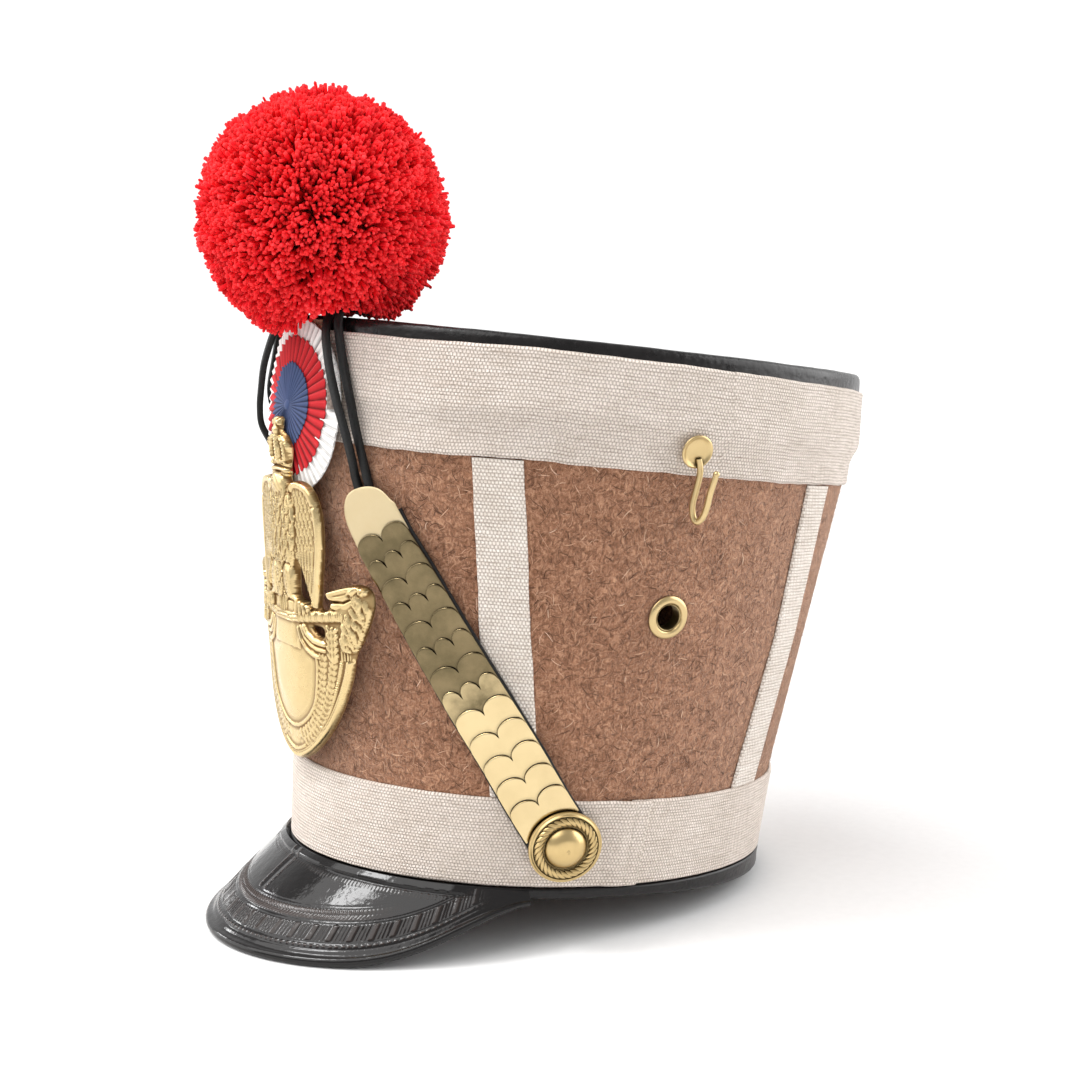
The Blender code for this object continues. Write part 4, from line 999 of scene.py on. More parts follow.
I_, O_, R_, U_, RAD, HALF, CRWN, LL = (on_rows(k) for k in range(8))
U_ = unit(U_)
RAD, HALF, CRWN, LL = (v[:, 0] for v in (RAD, HALF, CRWN, LL))
s_mm = np.interp(s_fine, s_old, edge_run) - EDGE_LONG / 2
stop = np.maximum(0.05, 1.0 - 1.2 * RAD / LL)
cols, tones = [], []
for f in f_in:
    u = f
    d_edge = LL * (1 - stop * u)
    bow = HALF + CRWN * 4 * u * (1 - u) * 0.8
    h, wear = emboss(s_mm, d_edge, LL, 1 - f)
    fade = smooth((LL - 9) / 14)
    h = h * fade
    cols.append(I_ + R_ * (stop * u)[:, None] + U_ * (bow + h)[:, None])
    tones.append(np.stack([wear * fade, np.full(PEAK_FINE, f)], -1))
# bead round the edge, then the under side
face = unit(R_)
for d in np.linspace(125, -125, 15):
    b = math.radians(d)
    cols.append(O_ + (face * math.cos(b) + U_ * math.sin(b)) * RAD[:, None])
    tones.append(np.stack([np.full(PEAK_FINE, 0.0), np.full(PEAK_FINE, 1.1)], -1))
for u in (1.0, 0.8, 0.6, 0.4, 0.2, 0.0):
    bow = -HALF + CRWN * 4 * u * (1 - u) * 0.8
    cols.append(I_ + R_ * (stop * u)[:, None] + U_ * bow[:, None])
    tones.append(np.zeros((PEAK_FINE, 2)))
P = np.stack(cols, 1)
# fewer stations under and in the plain field would do, but the stamped ring needs them all
step_ = 1
P, T_ = P[::step_], np.stack(tones, 1)[::step_]
n, m = P.shape[:2]
F = [quads(n, m, wrap_m=True, flip=True), np.arange(m)[None], np.arange((n - 1) * m, n * m)[None, ::-1]]
build("peak_leather_stamped", P, F, PATENT.m, uv=T_, smooth_angle=55, instead=["visor"])


# ---------------------------------------------------------------- brass
def brass_look(name, colour=(0.78, 0.56, 0.25), rough=(0.16, 0.30), dark=(0.42, 0.28, 0.10), brushed=0.0,
               scratch=0.25, tarnish=0.35, grain=260.0, shade_reach_mm=0.9, dark_reflection_span=None):
    k = Look(name, colour, sum(rough) / 2, 1.0)
    broad = k.noise(95.0, 4.0, 0.6)
    fine = k.noise(grain * 4, 3.0)
    lines = k.noise(grain, 3.0, 0.6, at=k.cloth(), stretch=(0.012, 0.6, 1.0))
    patch = k.ramp(broad, (0.35, 0.0), (0.75, 1.0))
    tone = k.mix(k.math("MULTIPLY", patch, tarnish), colour, dark)
    if dark_reflection_span:                # painted reflection: the plates at one end of the row are painted a dark brown, standing in for the dark surroundings that they reflect
        along = k.math("ADD", k.node("SeparateXYZ", 0, Vector=k.cloth()), k.range(broad, 0.3, 0.7, -9.0, 9.0))
        tone = k.mix(k.range(along, dark_reflection_span[0], dark_reflection_span[1], 0.93, 0.0), tone, k.mix(
            k.range(broad, 0.35, 0.66, 0.0, 1.0), (0.100, 0.078, 0.040), (0.190, 0.145, 0.078)))
    # painted shade: the colour is darkened where ambient occlusion finds surfaces close by, in crevices, under edges
    # and between parts
    ao = k.node("AmbientOcclusion", 1, {"samples": 6}, Distance=shade_reach_mm * MM)
    tone = k.mix(k.range(ao, 0.52, 0.93, 1.0, 0.0), tone, tuple(c * 0.10 for c in dark))
    normal = k.bump(broad, 0.06, 0.8)
    if brushed:
        normal = k.bump(lines, brushed, 0.08, before=normal)
    normal = k.bump(fine, scratch * 0.3, 0.05, before=normal)
    k.set(Base_Color=tone, Normal=normal,
          Roughness=k.math("ADD", k.range(broad, 0.3, 0.7, rough[0], rough[1]),
                           k.math("MULTIPLY", fine, 0.05)))
    return k


# painted reflection: the upper scales, nearest the end plate, are painted darker
SCALE_BRASS = brass_look("scale_metal", (0.68, 0.54, 0.30), (0.13, 0.22), (0.50, 0.38, 0.20), brushed=0.12, shade_reach_mm=1.7, dark_reflection_span=(352.0, 384.0))
END_BRASS = brass_look("end_plate_metal", (0.65, 0.53, 0.325), (0.38, 0.48), (0.60, 0.47, 0.25), brushed=0.8)
END_BRASS.b.inputs["Metallic"].default_value = 0.62
BOSS_BRASS = brass_look("boss_metal", (0.62, 0.46, 0.22), (0.24, 0.36), (0.40, 0.28, 0.12), shade_reach_mm=1.6)
FITTING_BRASS = brass_look("fitting_metal", (0.62, 0.47, 0.24), (0.24, 0.34), (0.42, 0.30, 0.14), scratch=0.06, shade_reach_mm=1.2)

# ---------------------------------------------------------------- chin strap
strap_rows = curve_through(STRAP_LINE, 121)


class Strap:
    def __init__(self, side):
        self.side = side
        a, z = strap_rows[:, 0], strap_rows[:, 1]
        spots = skin(a, z, STRAP_OUT, side)
        self.reach = np.concatenate([[0], np.cumsum(np.linalg.norm(np.diff(spots, axis=0), axis=1))])
        way = spots[np.minimum(np.arange(121) + 1, 120)] - spots[np.maximum(np.arange(121) - 1, 0)]
        normal = skin_frame(a, z, side)[2]
        way = unit(way - normal * np.sum(way * normal, -1, keepdims=True))
        self.data = np.concatenate([spots, way, normal, np.cross(way, normal) * side], 1)
        self.long = self.reach[-1]

    def at(self, s, w, h):
        s, w, h = np.broadcast_arrays(*(np.asarray(v, float) for v in (s, w, h)))
        on = np.clip(s, 0, self.long)
        d = np.stack([np.interp(on, self.reach, self.data[:, k]) for k in range(12)], -1)
        spot, way, normal, across = d[..., :3], d[..., 3:6], d[..., 6:9], d[..., 9:]
        return spot + way * (s - on)[..., None] + across * w[..., None] + normal * h[..., None]


STRAPS = {1: Strap(1), -1: Strap(-1)}
STRAP_LENGTH = STRAPS[1].long


def first_or_last(k):
    return CUSPS[k - 1]


def plated(top, low):
    """A thin closed shell between two grids (n, m, 3), its rim rounded by the grids themselves."""
    n, m = top.shape[:2]
    pts_ = np.concatenate([top.reshape(-1, 3), low.reshape(-1, 3)])
    a_, b_ = np.arange(n * m).reshape(n, m), np.arange(n * m).reshape(n, m) + n * m
    rim_a = np.concatenate([a_[0], a_[1:, -1], a_[-1, -2::-1], a_[-2:0:-1, 0]])
    rim_b = np.concatenate([b_[0], b_[1:, -1], b_[-1, -2::-1], b_[-2:0:-1, 0]])
    rim = np.stack([rim_a, rim_b, np.roll(rim_b, -1), np.roll(rim_a, -1)], -1)
    return pts_, [quads(n, m, flip=True), quads(n, m, offset=n * m), rim]


for side, word in ((1, "left"), (-1, "right")):
    strap = STRAPS[side]
    half = SCALE_WIDTH / 2
    # leather backing, edges rounded
    lw = STRAP_WIDTH / 2
    stops = np.concatenate([-lw * np.cos(np.linspace(0.12, math.pi / 2, 14)), np.linspace(1.0, STRAP_LENGTH - 13.0, 110)])
    wide = np.where(stops < 0, np.sqrt(np.maximum(0, lw * lw - stops ** 2)), lw)
    wide = wide + 0.12 * wave(stops, 0.4 + side, 5.0)
    shift = -0.10 * smooth((stops - 60) / 60)
    prof_w = np.array([-1.0, -0.97, -0.9, 0.0, 0.9, 0.97, 1.0, 1.0, 0.97, -0.97, -1.0])
    prof_h = np.array([-0.45, -0.12, 0.0, 0.0, 0.0, -0.12, -0.45, -1.1, -1.5, -1.5, -1.1])
    P = np.stack([strap.at(stops, wide * w + shift, h) for w, h in zip(prof_w, prof_h)], 1)
    n, m = P.shape[:2]
    build(f"strap_leather_{word}", P, [quads(n, m, wrap_m=True), np.arange(m)[None, ::-1],
                                       np.arange((n - 1) * m, n * m)[None]],
          BACKING.m, instead=[f"chin_strap_{word}"])

    # end plate: gently crowned, its rim turned down
    low_s = first_or_last(1) - 0.7
    turn = np.linspace(0, 88.5, 22)
    s_list = np.concatenate([np.linspace(low_s, STRAP_LENGTH - 10.6, 22),
                             STRAP_LENGTH - 10.5 + 10.5 * np.sin(np.radians(turn))])
    w_list = np.concatenate([np.full(22, half), half * np.cos(np.radians(turn)) ** 0.9])
    cc = np.sin(np.linspace(-90, 90, 25) * math.pi / 180)
    lift = 0.42 + 0.45 * smooth((s_list - low_s - 4) / 8)
    tip = np.clip((STRAP_LENGTH - s_list) / 1.0, 0, 1)
    rim = np.minimum(1 - np.abs(cc)[None, :] * (w_list / half)[:, None], 9)
    drop = 0.35 * (1 - np.clip((half - np.abs(cc)[None, :] * w_list[:, None]
                               - (half - w_list)[:, None]) / 0.9, 0, 1)) ** 2
    crown_ = 0.15 * (1 - cc[None, :] ** 2)
    S, W = np.broadcast_to(s_list[:, None], drop.shape), w_list[:, None] * cc[None, :]
    top_ = strap.at(S, W, lift[:, None] + 0.5 + crown_ - drop - 0.3 * (1 - tip[:, None]) ** 2)
    low_ = strap.at(S, W, np.broadcast_to(lift[:, None], S.shape))
    pts_, F = plated(top_, low_)
    uv = np.stack([np.concatenate([S.ravel()] * 2), np.concatenate([W.ravel()] * 2)], -1)
    build(f"strap_tip_{word}", pts_, F if side > 0 else [f[:, ::-1] for f in F], END_BRASS.m, uv=uv,
          smooth_angle=50, instead=[f"end_plate_{word}"])

    # scales: lobed plates, each over the next one up; the lobes' edges are turned down
    parts_ = []
    for number in range(1, SCALES + 1):
        cusp = first_or_last(number)
        lobes = 3 if number in THREE_LOBED else 2
        per = 22 if lobes == 2 else 15
        cols_ = lobes * per + 1
        k = np.arange(cols_)
        w = (2 * k / (cols_ - 1) - 1) * half
        f = (k / (cols_ - 1) * lobes) % 1.0
        f[-1] = 1.0
        lobe = 4.6 * np.sqrt(np.maximum(0.0, 1 - (2 * f - 1) ** 2)) - 0.35 * ((f < 1e-6) | (f > 1 - 1e-6))
        near_cusp = np.exp(-((np.minimum(f, 1 - f)) / 0.05) ** 2)
        d_rows, lift_rows, fall_rows = [], [], []
        for q in (-11.0, -8.0, -5.2, -3.6, -2.4, -1.0):
            d_rows.append(np.full(cols_, q)); fall_rows.append(np.zeros(cols_))
        for q, dr in ((0.25, 0.0), (0.5, 0.0), (0.75, 0.0), (0.88, 0.0), (0.94, 0.03), (0.98, 0.10), (1.0, 0.24)):
            d_rows.append(-1.0 + (lobe + 1.0) * q); fall_rows.append(np.full(cols_, dr))
        d_ = np.stack(d_rows)
        dome = 0.10 * np.sin(math.pi * np.clip(f, 0, 1))[None, :] * smooth((d_ + 4) / 5)
        lift = 0.42 + 0.052 * (d_ + 11.0) + 0.26 * smooth((d_ + 2.0) / 5.0)
        side_drop = 0.18 * (np.abs(w) > half - 0.3)[None, :]
        top_ = strap.at(cusp + d_, np.broadcast_to(w, d_.shape),
                        lift + 0.45 + dome - np.stack(fall_rows) - side_drop)
        low_ = strap.at(cusp + d_, np.broadcast_to(w, d_.shape), lift)
        pts_, F = plated(top_, low_)
        uv = np.stack([np.concatenate([(cusp + d_).ravel()] * 2) + number * 37.0,
                       np.concatenate([np.broadcast_to(w, d_.shape).ravel()] * 2)], -1)
        parts_.append((pts_, F, uv))
    pts_, F, uv = merged(parts_)
    build(f"scales_{word}", pts_, F if side > 0 else [f[:, ::-1] for f in F], SCALE_BRASS.m, uv=uv,
          smooth_angle=38, instead=[f"scale_{word}_{i:02d}" for i in range(1, SCALES + 1)])

    # boss: turned rings, a twisted rope ring and a polished dome
    put_ = placer(*STRAP_LINE[0], STRAP_OUT + 1.5, side)
    prof = curve_through([(0.35, 5.58), (2.4, 5.45), (4.6, 4.95), (6.4, 3.95), (7.6, 2.85), (8.15, 2.15)], 18).tolist()
    prof += [(8.35, 1.55), (8.6, 1.40), (8.9, 1.42), (9.1, 1.62), (9.35, 1.75), (12.35, 1.75), (12.6, 1.72), (12.8, 1.95),
             (13.05, 2.12), (13.35, 2.05), (13.55, 1.72), (13.75, 1.45), (14.0, 1.42), (14.35, 1.28), (14.5, 0.95), (14.45, 0.5),
             (14.2, 0.15), (13.6, 0.0), (0.35, 0.0)]
    p, f = lathe(prof, 96, put_)
    m = len(prof)
    p = np.vstack([p, put_(np.array([[0, 0, 5.60], [0, 0, 0.0]]))])
    f = f + [fan(np.arange(96) * m, len(p) - 2, flip=True), fan(np.arange(96) * m + m - 1, len(p) - 1)]
    bits = [(p, f, None)]
    strands = 30
    for i in range(strands):
        base = i / strands * math.tau
        tt = np.linspace(-1, 1, 7)
        r_ = 10.85 + 1.35 * tt
        ang_ = base + 0.21 * tt
        path = np.stack([r_ * np.cos(ang_), r_ * np.sin(ang_), 1.75 + 0.62 * np.sqrt(np.maximum(0.0, 1 - (0.97 * tt) ** 2))], -1)
        nrm = np.tile([0.0, 0.0, 1.0], (7, 1))
        sp, sf = swept(path, nrm, circle(0.86, 8, 0.85), scale=0.45 + 0.55 * np.sqrt(np.maximum(0.02, 1 - tt ** 2)))
        bits.append((put_(sp), sf, None))
    # worn spot in the middle of the dome
    rr = np.random.default_rng(5)
    for _ in range(9):
        q, ang_ = rr.uniform(0.1, 1.0), rr.uniform(0, math.tau)
        c_ = np.array([q * math.cos(ang_), q * math.sin(ang_), 5.56])
        ball = lathe([(0.02, 0.14), (0.16, 0.10), (0.26, 0.0), (0.2, -0.1)], 7, lambda v, c_=c_: v + c_)
        bits.append((put_(ball[0]), ball[1], None))
    p, f, _ = merged(bits)
    boss_obj = build(f"boss_turned_{word}", p, f, BOSS_BRASS.m, smooth_angle=32,
                     instead=[f"boss_{word}"])

    # eyelet: rolled ring with a step down into the tube
    put_ = placer(*EYELET, 0.0, side)
    prof = [(4.75, -4.1), (5.2, -4.35), (6.2, -4.42), (7.2, -4.25), (7.45, -3.85), (7.2, -3.5), (5.3, -3.5), (5.3, 0.35), (8.2, 0.35),
            (8.45, 0.5)]
    prof += curve_through([(8.5, 0.62), (8.35, 1.0), (7.8, 1.45), (6.9, 1.74), (6.2, 1.70), (5.7, 1.45), (5.45, 1.05)], 20).tolist()
    prof += [(5.35, 0.85), (5.25, 0.80), (5.1, 0.92), (4.95, 0.85), (4.82, 0.45), (4.78, -0.6)]
    p, f = lathe(prof, 72, put_)
    m = len(prof)
    f.append(np.stack([np.arange(72) * m + m - 1, (np.arange(72) + 1) % 72 * m + m - 1,
                       (np.arange(72) + 1) % 72 * m, np.arange(72) * m], -1))
    build(f"eyelet_ring_{word}", p, f if side > 0 else [q for q in f], FITTING_BRASS.m, instead=[f"eyelet_{word}"])

    # hook: dished disc and a bent wire that ends in a ball
    put_ = placer(*HOOK, 4.8, side)
    prof = [(0.05, 0.52), (2.0, 0.54), (3.8, 0.60), (4.8, 0.78), (5.25, 1.16), (5.75, 1.5), (6.15, 1.42), (6.38, 1.15), (6.4, 0.85),
            (6.1, 0.45), (5.6, 0.2), (4.0, 0.02), (0.05, 0.0)]
    p, f = lathe(prof, 60, put_)
    m = len(prof)
    p = np.vstack([p, put_(np.array([[0, 0, 0.52], [0, 0, 0.0]]))])
    f = f + [fan(np.arange(60) * m, len(p) - 2, flip=True), fan(np.arange(60) * m + m - 1, len(p) - 1)]
    bits = [(p, f, None)]
    line = ((1.2, -2.6, 0.9), (2.2, -6.0, 1.6), (2.5, -9.0, 2.0), (2.2, -15.0, 2.1), (1.9, -20.0, 2.4),
            (2.6, -24.2, 3.4), (3.7, -25.8, 5.0), (4.6, -23.8, 6.6), (4.9, -19.5, 7.6), (4.7, -13.0, 8.2),
            (4.9, -8.6, 8.6), (5.1, -5.8, 8.8))
    path = curve_through([(x * side, y, z) for x, y, z in line], 70)
    nrm = np.tile([1.0, 0.0, 0.0], (70, 1))
    sp, sf = swept(path, nrm, circle(1.22, 14), scale=np.concatenate([np.full(60, 1.0), np.linspace(1.0, 0.9, 10)]))
    bits.append((put_(sp), sf, None))
    ball = [(1.25 * math.sin(t) + 0.01, 1.25 * math.cos(t)) for t in np.linspace(0.02, math.pi - 0.02, 14)]
    bp, bf = lathe(ball, 20, lambda v: v + path[-1])
    bits.append((put_(bp), bf, None))
    p, f, _ = merged(bits)
    build(f"hook_wire_{word}", p, f, FITTING_BRASS.m, smooth_angle=45, instead=[f"hook_{word}"])


# ---------------------------------------------------------------- laces: flat-sided straps of thin leather
def lace(name, climb, over, seed, node):
    left = [skin(a_, z, out).ravel() for a_, z, out in climb]
    middle = [np.array([x, y, LACE_TOP_Z + CROWN_TILT * 1.3 * y]) for x, y in over]

    def mirror(p_):
        return np.array([2 * SIDE_LEAN * float(lean_at(p_[2])) - p_[0], p_[1], p_[2]])

    right = [skin(a_, z, out, -1).ravel() for a_, z, out in reversed(climb)]
    far = [mirror(p_) for p_ in reversed(middle)]
    if np.linalg.norm(far[0] - middle[-1]) < 2.0:
        far = far[1:]
    line = curve_through(left + middle + far + right, 260)
    mid = np.array([SIDE_LEAN, 2.0, 0.0])
    nrm = line - mid
    nrm[:, 2] = 0.0
    nrm = unit(nrm)
    on_top = smooth((line[:, 2] - 204.0) / 6.0)[:, None]
    nrm = unit(nrm * (1 - on_top) + np.array([0.0, 0.0, 1.0]) * on_top)
    t = np.arange(20) / 20 * math.tau
    power = 0.62
    prof = np.stack([1.68 * np.sign(np.cos(t)) * np.abs(np.cos(t)) ** power,
                     1.30 * np.sign(np.sin(t)) * np.abs(np.sin(t)) ** power], -1)
    prof[:, 1] -= 0.10 * np.exp(-(prof[:, 0] / 0.35) ** 2) * (prof[:, 1] > 0)
    wob = 1.0 + 0.03 * wave(np.arange(260), seed, 9.0)
    p, f = swept(line, nrm, prof, scale=wob)
    build(name, p, f, LACING.m, smooth_angle=50, instead=[node])


lace("lace_cord_a", LACE_A, LACE_A_TOP, 0.3, "lace_a")
lace("lace_cord_b", LACE_B, LACE_B_TOP, 1.9, "lace_b")


# ---------------------------------------------------------------- cockade: three pleated rings of ribbon
def cockade_at(angle, part, off):
    """A point of the cockade: angle round it, part of its radius, height off its back."""
    angle, part, off = np.broadcast_arrays(*(np.asarray(v, float) for v in (angle, part, off)))
    c, s = np.cos(angle), np.sin(angle)
    reach = np.where(c > 0, COCKADE_R["right"], COCKADE_R["left"])
    u = COCKADE_U + reach * c * part
    z = COCKADE_Z + COCKADE_R["height"] * s * part
    base = 4.1 + 2.75 * np.clip((z - 138.0) / 42.0, 0.0, 1.0)
    return skin(front_degrees(u, z), z, base + off)


def ribbon_look(name, colour, weave=1500.0):
    k = Look(name, colour, 0.7, Sheen_Weight=0.08, Sheen_Roughness=0.35, Specular_IOR_Level=0.15)
    xyz = k.t.nodes.new("ShaderNodeSeparateXYZ")
    k.t.links.new(k.cloth(), xyz.inputs[0])
    ribs = k.math("SINE", k.math("MULTIPLY", xyz.outputs[0], math.tau / 0.42))
    fine = k.noise(weave, 3.0)
    broad = k.noise(160.0, 3.0)
    height = k.math("ADD", k.math("MULTIPLY", ribs, 0.35), fine)
    fold = xyz.outputs[1]            # 0 in the folds, 1 on the crests
    dark = tuple(c * 0.30 for c in colour)
    lite = tuple(min(1.0, c * 1.12 + 0.012) for c in colour)
    # painted shade and highlight: the ribbon is darker in its folds and lighter on its crests
    tone = k.ramp(k.math("ADD", k.math("MULTIPLY", fold, 0.8), k.math("MULTIPLY", broad, 0.3)),
                  (0.16, dark), (0.55, colour), (1.0, lite))
    k.set(Base_Color=tone, Normal=k.bump(height, 0.35, 0.10))
    return k


WHITE_RIBBON = ribbon_look("ribbon_white", (0.84, 0.82, 0.80))
RED_RIBBON = ribbon_look("ribbon_red", (0.50, 0.014, 0.020))
BLUE_RIBBON = ribbon_look("ribbon_blue", (0.055, 0.080, 0.175))

PLEATS = 40


def pleated(name, r_in, r_out, base_off, fold, material, pleats, zig, seed, across_n=9, closed_back=False):
    """One ring of knife pleats: a zigzag section all round, its outer edge a zigzag too."""
    per = 6
    n_ = pleats * per
    t = np.arange(n_) / n_ * math.tau
    ph = (np.arange(n_) % per) / per
    pid = np.arange(n_) // per
    r = np.random.default_rng(seed)
    jig = r.normal(0, 1, pleats)[pid]
    tri = np.where(ph < 0.72, ph / 0.72, (1 - ph) / 0.28)       # slow up, quick down: pleats lie over
    rows_t, rows_l, uvs = [], [], []
    for f in np.linspace(0, 1, across_n):
        edge = r_out * (1 + zig * (tri - 0.5)) + 0.006 * jig * (f > 0.5)
        rr = r_in + (edge - r_in) * f
        amp = fold * np.clip(rr, 0.02, 1.0)
        h = base_off + amp * (tri - 0.5) + 0.10 * jig * amp
        rows_t.append(cockade_at(t, rr, h))
        rows_l.append(cockade_at(t, rr, h - 0.28))
        uvs.append(np.stack([rr * 30.0, tri], -1))
    T = np.stack(rows_t, 1)
    B = np.stack(rows_l, 1)
    P_ = np.concatenate([T, B[:, ::-1]], 1)
    U = np.stack(uvs, 1)
    # painted shade: the under side takes a third of the fold value, so it comes out darker
    U = np.concatenate([U, U[:, ::-1] * [1, 0.3]], 1)
    return build(name, P_, quads(n_, P_.shape[1], wrap_n=True, wrap_m=True, flip=True), material, uv=U,
                 smooth_angle=28)


white = pleated("cockade_white", 0.69, 0.985, 0.60, 0.95, WHITE_RIBBON.m, 58, 0.010, 3)
red = pleated("cockade_red", 0.37, 0.775, 1.25, 1.35, RED_RIBBON.m, PLEATS, 0.065, 4, across_n=8)
blue = pleated("cockade_blue", 0.02, 0.47, 1.75, 1.75, BLUE_RIBBON.m, PLEATS, 0.10, 5, across_n=8)
# the stiff disc behind them, and the gathered knot in the middle
t = np.arange(120) / 120 * math.tau
disc = [cockade_at(t, f, h) for f, h in ((0.03, 1.2), (0.4, 1.0), (0.8, 0.45), (0.97, 0.30), (0.99, 0.15), (0.97, 0.0),
                                         (0.8, 0.0), (0.4, 0.0), (0.03, 0.0))]
P = np.stack(disc, 1)
build("cockade_back", P, quads(120, P.shape[1], wrap_n=True, wrap_m=True, flip=True), WHITE_RIBBON.m,
      uv=np.tile([0.0, 0.4], (P.shape[0] * P.shape[1], 1)), instead=["cockade"])
knot = [cockade_at(t[::4], f, h) for f, h in ((0.001, 2.45), (0.02, 2.4), (0.045, 2.2), (0.06, 1.8), (0.06, 0.9), (0.001, 0.9))]
P = np.stack(knot, 1)
build("cockade_knot", P, quads(30, P.shape[1], wrap_n=True, flip=True), BLUE_RIBBON.m,
      uv=np.tile([0.0, 0.5], (P.shape[0] * P.shape[1], 1)))

# a tape that comes through a slit of the white ring on the wearer's left
TAB = Look("tab_cloth", (0.17, 0.13, 0.11), 0.85)
TAB.set(Base_Color=TAB.ramp(TAB.noise(800.0, 3.0), (0.35, (0.10, 0.075, 0.065)), (0.65, (0.24, 0.19, 0.16))))
th = np.linspace(0.02, 0.36, 9)
P = np.stack([cockade_at(th, f, 1.35 + 0.35 * math.sin(math.pi * q)) for f, q in
              ((0.80, 0.0), (0.82, 0.35), (0.86, 0.6), (0.90, 0.35), (0.915, 0.0))], 1)
build("cockade_tab", P, quads(P.shape[0], P.shape[1], flip=True), TAB.m)

# felt pocket behind it, up to the crown
rows_, zz = [], np.linspace(184.0, 204.5, 16)
edge_deg = np.interp(zz, (184.0, 194.0, 204.5), (-77.3, -79.1, -80.9))
top_, low_ = [], []
for k_ in np.linspace(0, 1, 25):
    d_ = edge_deg + (-180 - 2 * edge_deg) * k_
    rim = min(1.0, min(k_, 1 - k_) * 24 / 1.2)
    top_.append(skin(d_, zz, 4.8 + 1.5 - 0.7 * (1 - rim) ** 2 + 0.12 * wave(zz + 40 * k_, 0.5, 2.2)))
    low_.append(skin(d_, zz, 4.8))
pts_, F = plated(np.stack(top_), np.stack(low_))
build("pocket_felt_patch", pts_, F, FELT_LOOK.m, instead=["pompom_pocket"])


def on_pocket(r, n):
    z = r.uniform(184.5, 204.0, n)
    e = np.interp(z, (184.0, 194.0, 204.5), (-77.3, -79.1, -80.9))
    return e + (-180 - 2 * e) * r.uniform(0.02, 0.98, n), z, np.full(n, 6.3), 1


fibres("pocket_hair", 420, 21, on_pocket, (1.8, 3.6), (0.16, 0.30), (0.05, 0.4), FIBRE_LOOK.m)

# ---------------------------------------------------------------- pompom: cut yarn round a dark core
def yarn_look(name):
    k = Look(name, (0.75, 0.03, 0.02), 0.72, Sheen_Weight=0.20, Sheen_Roughness=0.5,
             Sheen_Tint=(1.0, 0.22, 0.20, 1.0), Specular_IOR_Level=0.06)
    xyz = k.t.nodes.new("ShaderNodeSeparateXYZ")
    k.t.links.new(k.cloth(), xyz.inputs[0])
    v, tone_id = xyz.outputs[1], xyz.outputs[0]         # 0 at the root, 1 at the cut end; a value per yarn
    # painted shade: each yarn is darker towards its root, deep in the ball where shade falls among the yarns
    root_shade = k.ramp(v, (0.0, (0.30, 0.001, 0.004)), (0.45, (0.74, 0.004, 0.012)), (0.75, (0.92, 0.010, 0.018)),
                    (0.93, (0.98, 0.016, 0.024)), (1.0, (1.0, 0.040, 0.042)))
    each = k.ramp(tone_id, (0.0, (0.62, 0.40, 0.46)), (0.5, (0.95, 0.80, 0.84)), (1.0, (1.04, 1.5, 1.6)))
    twist = k.noise(1300.0, 3.0, 0.6)
    ply = k.ramp(twist, (0.35, (0.80, 0.74, 0.74)), (0.65, (1.08, 1.06, 1.06)))
    k.set(Base_Color=k.mix(1.0, k.mix(1.0, root_shade, each, "MULTIPLY"), ply, "MULTIPLY"),
          Normal=k.bump(twist, 0.5, 0.25))
    return k


YARN = yarn_look("red_yarn")
# painted shade: the core is a dark red, standing in for the shade deep inside the ball of yarn
CORE = Look("red_core", (0.16, 0.004, 0.004), 0.95)
CORE.set(Base_Color=CORE.ramp(CORE.noise(260.0, 4.0), (0.35, (0.22, 0.001, 0.003)), (0.65, (0.50, 0.004, 0.008))))
hub = np.array(POMPOM)
R_OUT, R_CORE = 48.3, 36.5


def lace_middle(climb, over):
    left = [skin(a_, z, out).ravel() for a_, z, out in climb]
    middle = [np.array([x, y, LACE_TOP_Z + CROWN_TILT * 1.3 * y]) for x, y in over]

    def mirror(p_):
        return np.array([2 * SIDE_LEAN * float(lean_at(p_[2])) - p_[0], p_[1], p_[2]])

    far = [mirror(p_) for p_ in reversed(middle)]
    if np.linalg.norm(far[0] - middle[-1]) < 2.0:
        far = far[1:]
    right = [skin(a_, z, out, -1).ravel() for a_, z, out in reversed(climb)]
    return curve_through(left + middle + far + right, 200)


LACE_POINTS = np.concatenate([lace_middle(LACE_A, LACE_A_TOP), lace_middle(LACE_B, LACE_B_TOP)])
LACE_POINTS = LACE_POINTS[LACE_POINTS[:, 2] > 190]


def rim_room(p):
    """How far a point of the pompom is clear of the crown, the cockade and the laces (negative: in them)."""
    x, y, z = p[..., 0], p[..., 1], p[..., 2]
    t = lean_at(z)
    depth, width = np.interp(z, WZ, WD), np.interp(z, WZ, WW)
    dy = (y - np.interp(z, WZ, WM))
    dx = (x - SIDE_LEAN * t)
    off = (np.hypot(dx / width, dy / depth) - 1.0) * 112.0
    flat_z = z - CROWN_TILT * t * y
    crown_gap = np.maximum(off - 5.4, flat_z - (RIM_TOP - 2.0 + 0.9))
    front = np.abs(x) < 34.0
    cockade_gap = np.where(front, np.maximum(off - 11.0, flat_z - 206.2), 99.0)
    flat = p.reshape(-1, 3)
    lace_gap = np.full(len(flat), 99.0)
    near_ = flat[:, 2] < 218.0
    if near_.any():
        d_ = np.linalg.norm(flat[near_][:, None, :] - LACE_POINTS[None, :, :], axis=-1).min(1)
        lace_gap[near_] = d_ - 2.4
    return np.minimum(np.minimum(crown_gap, cockade_gap), lace_gap.reshape(x.shape))


def ball_points(count, seed):
    i = np.arange(count) + 0.5
    phi = np.arccos(1 - 2 * i / count)
    theta = math.pi * (1 + 5 ** 0.5) * i
    p = np.stack([np.cos(theta) * np.sin(phi), np.sin(theta) * np.sin(phi), np.cos(phi)], -1)
    r = np.random.default_rng(seed)
    return unit(p + r.normal(0, 0.016, p.shape)), r


YARNS = 15000
heads, r = ball_points(YARNS, 31)
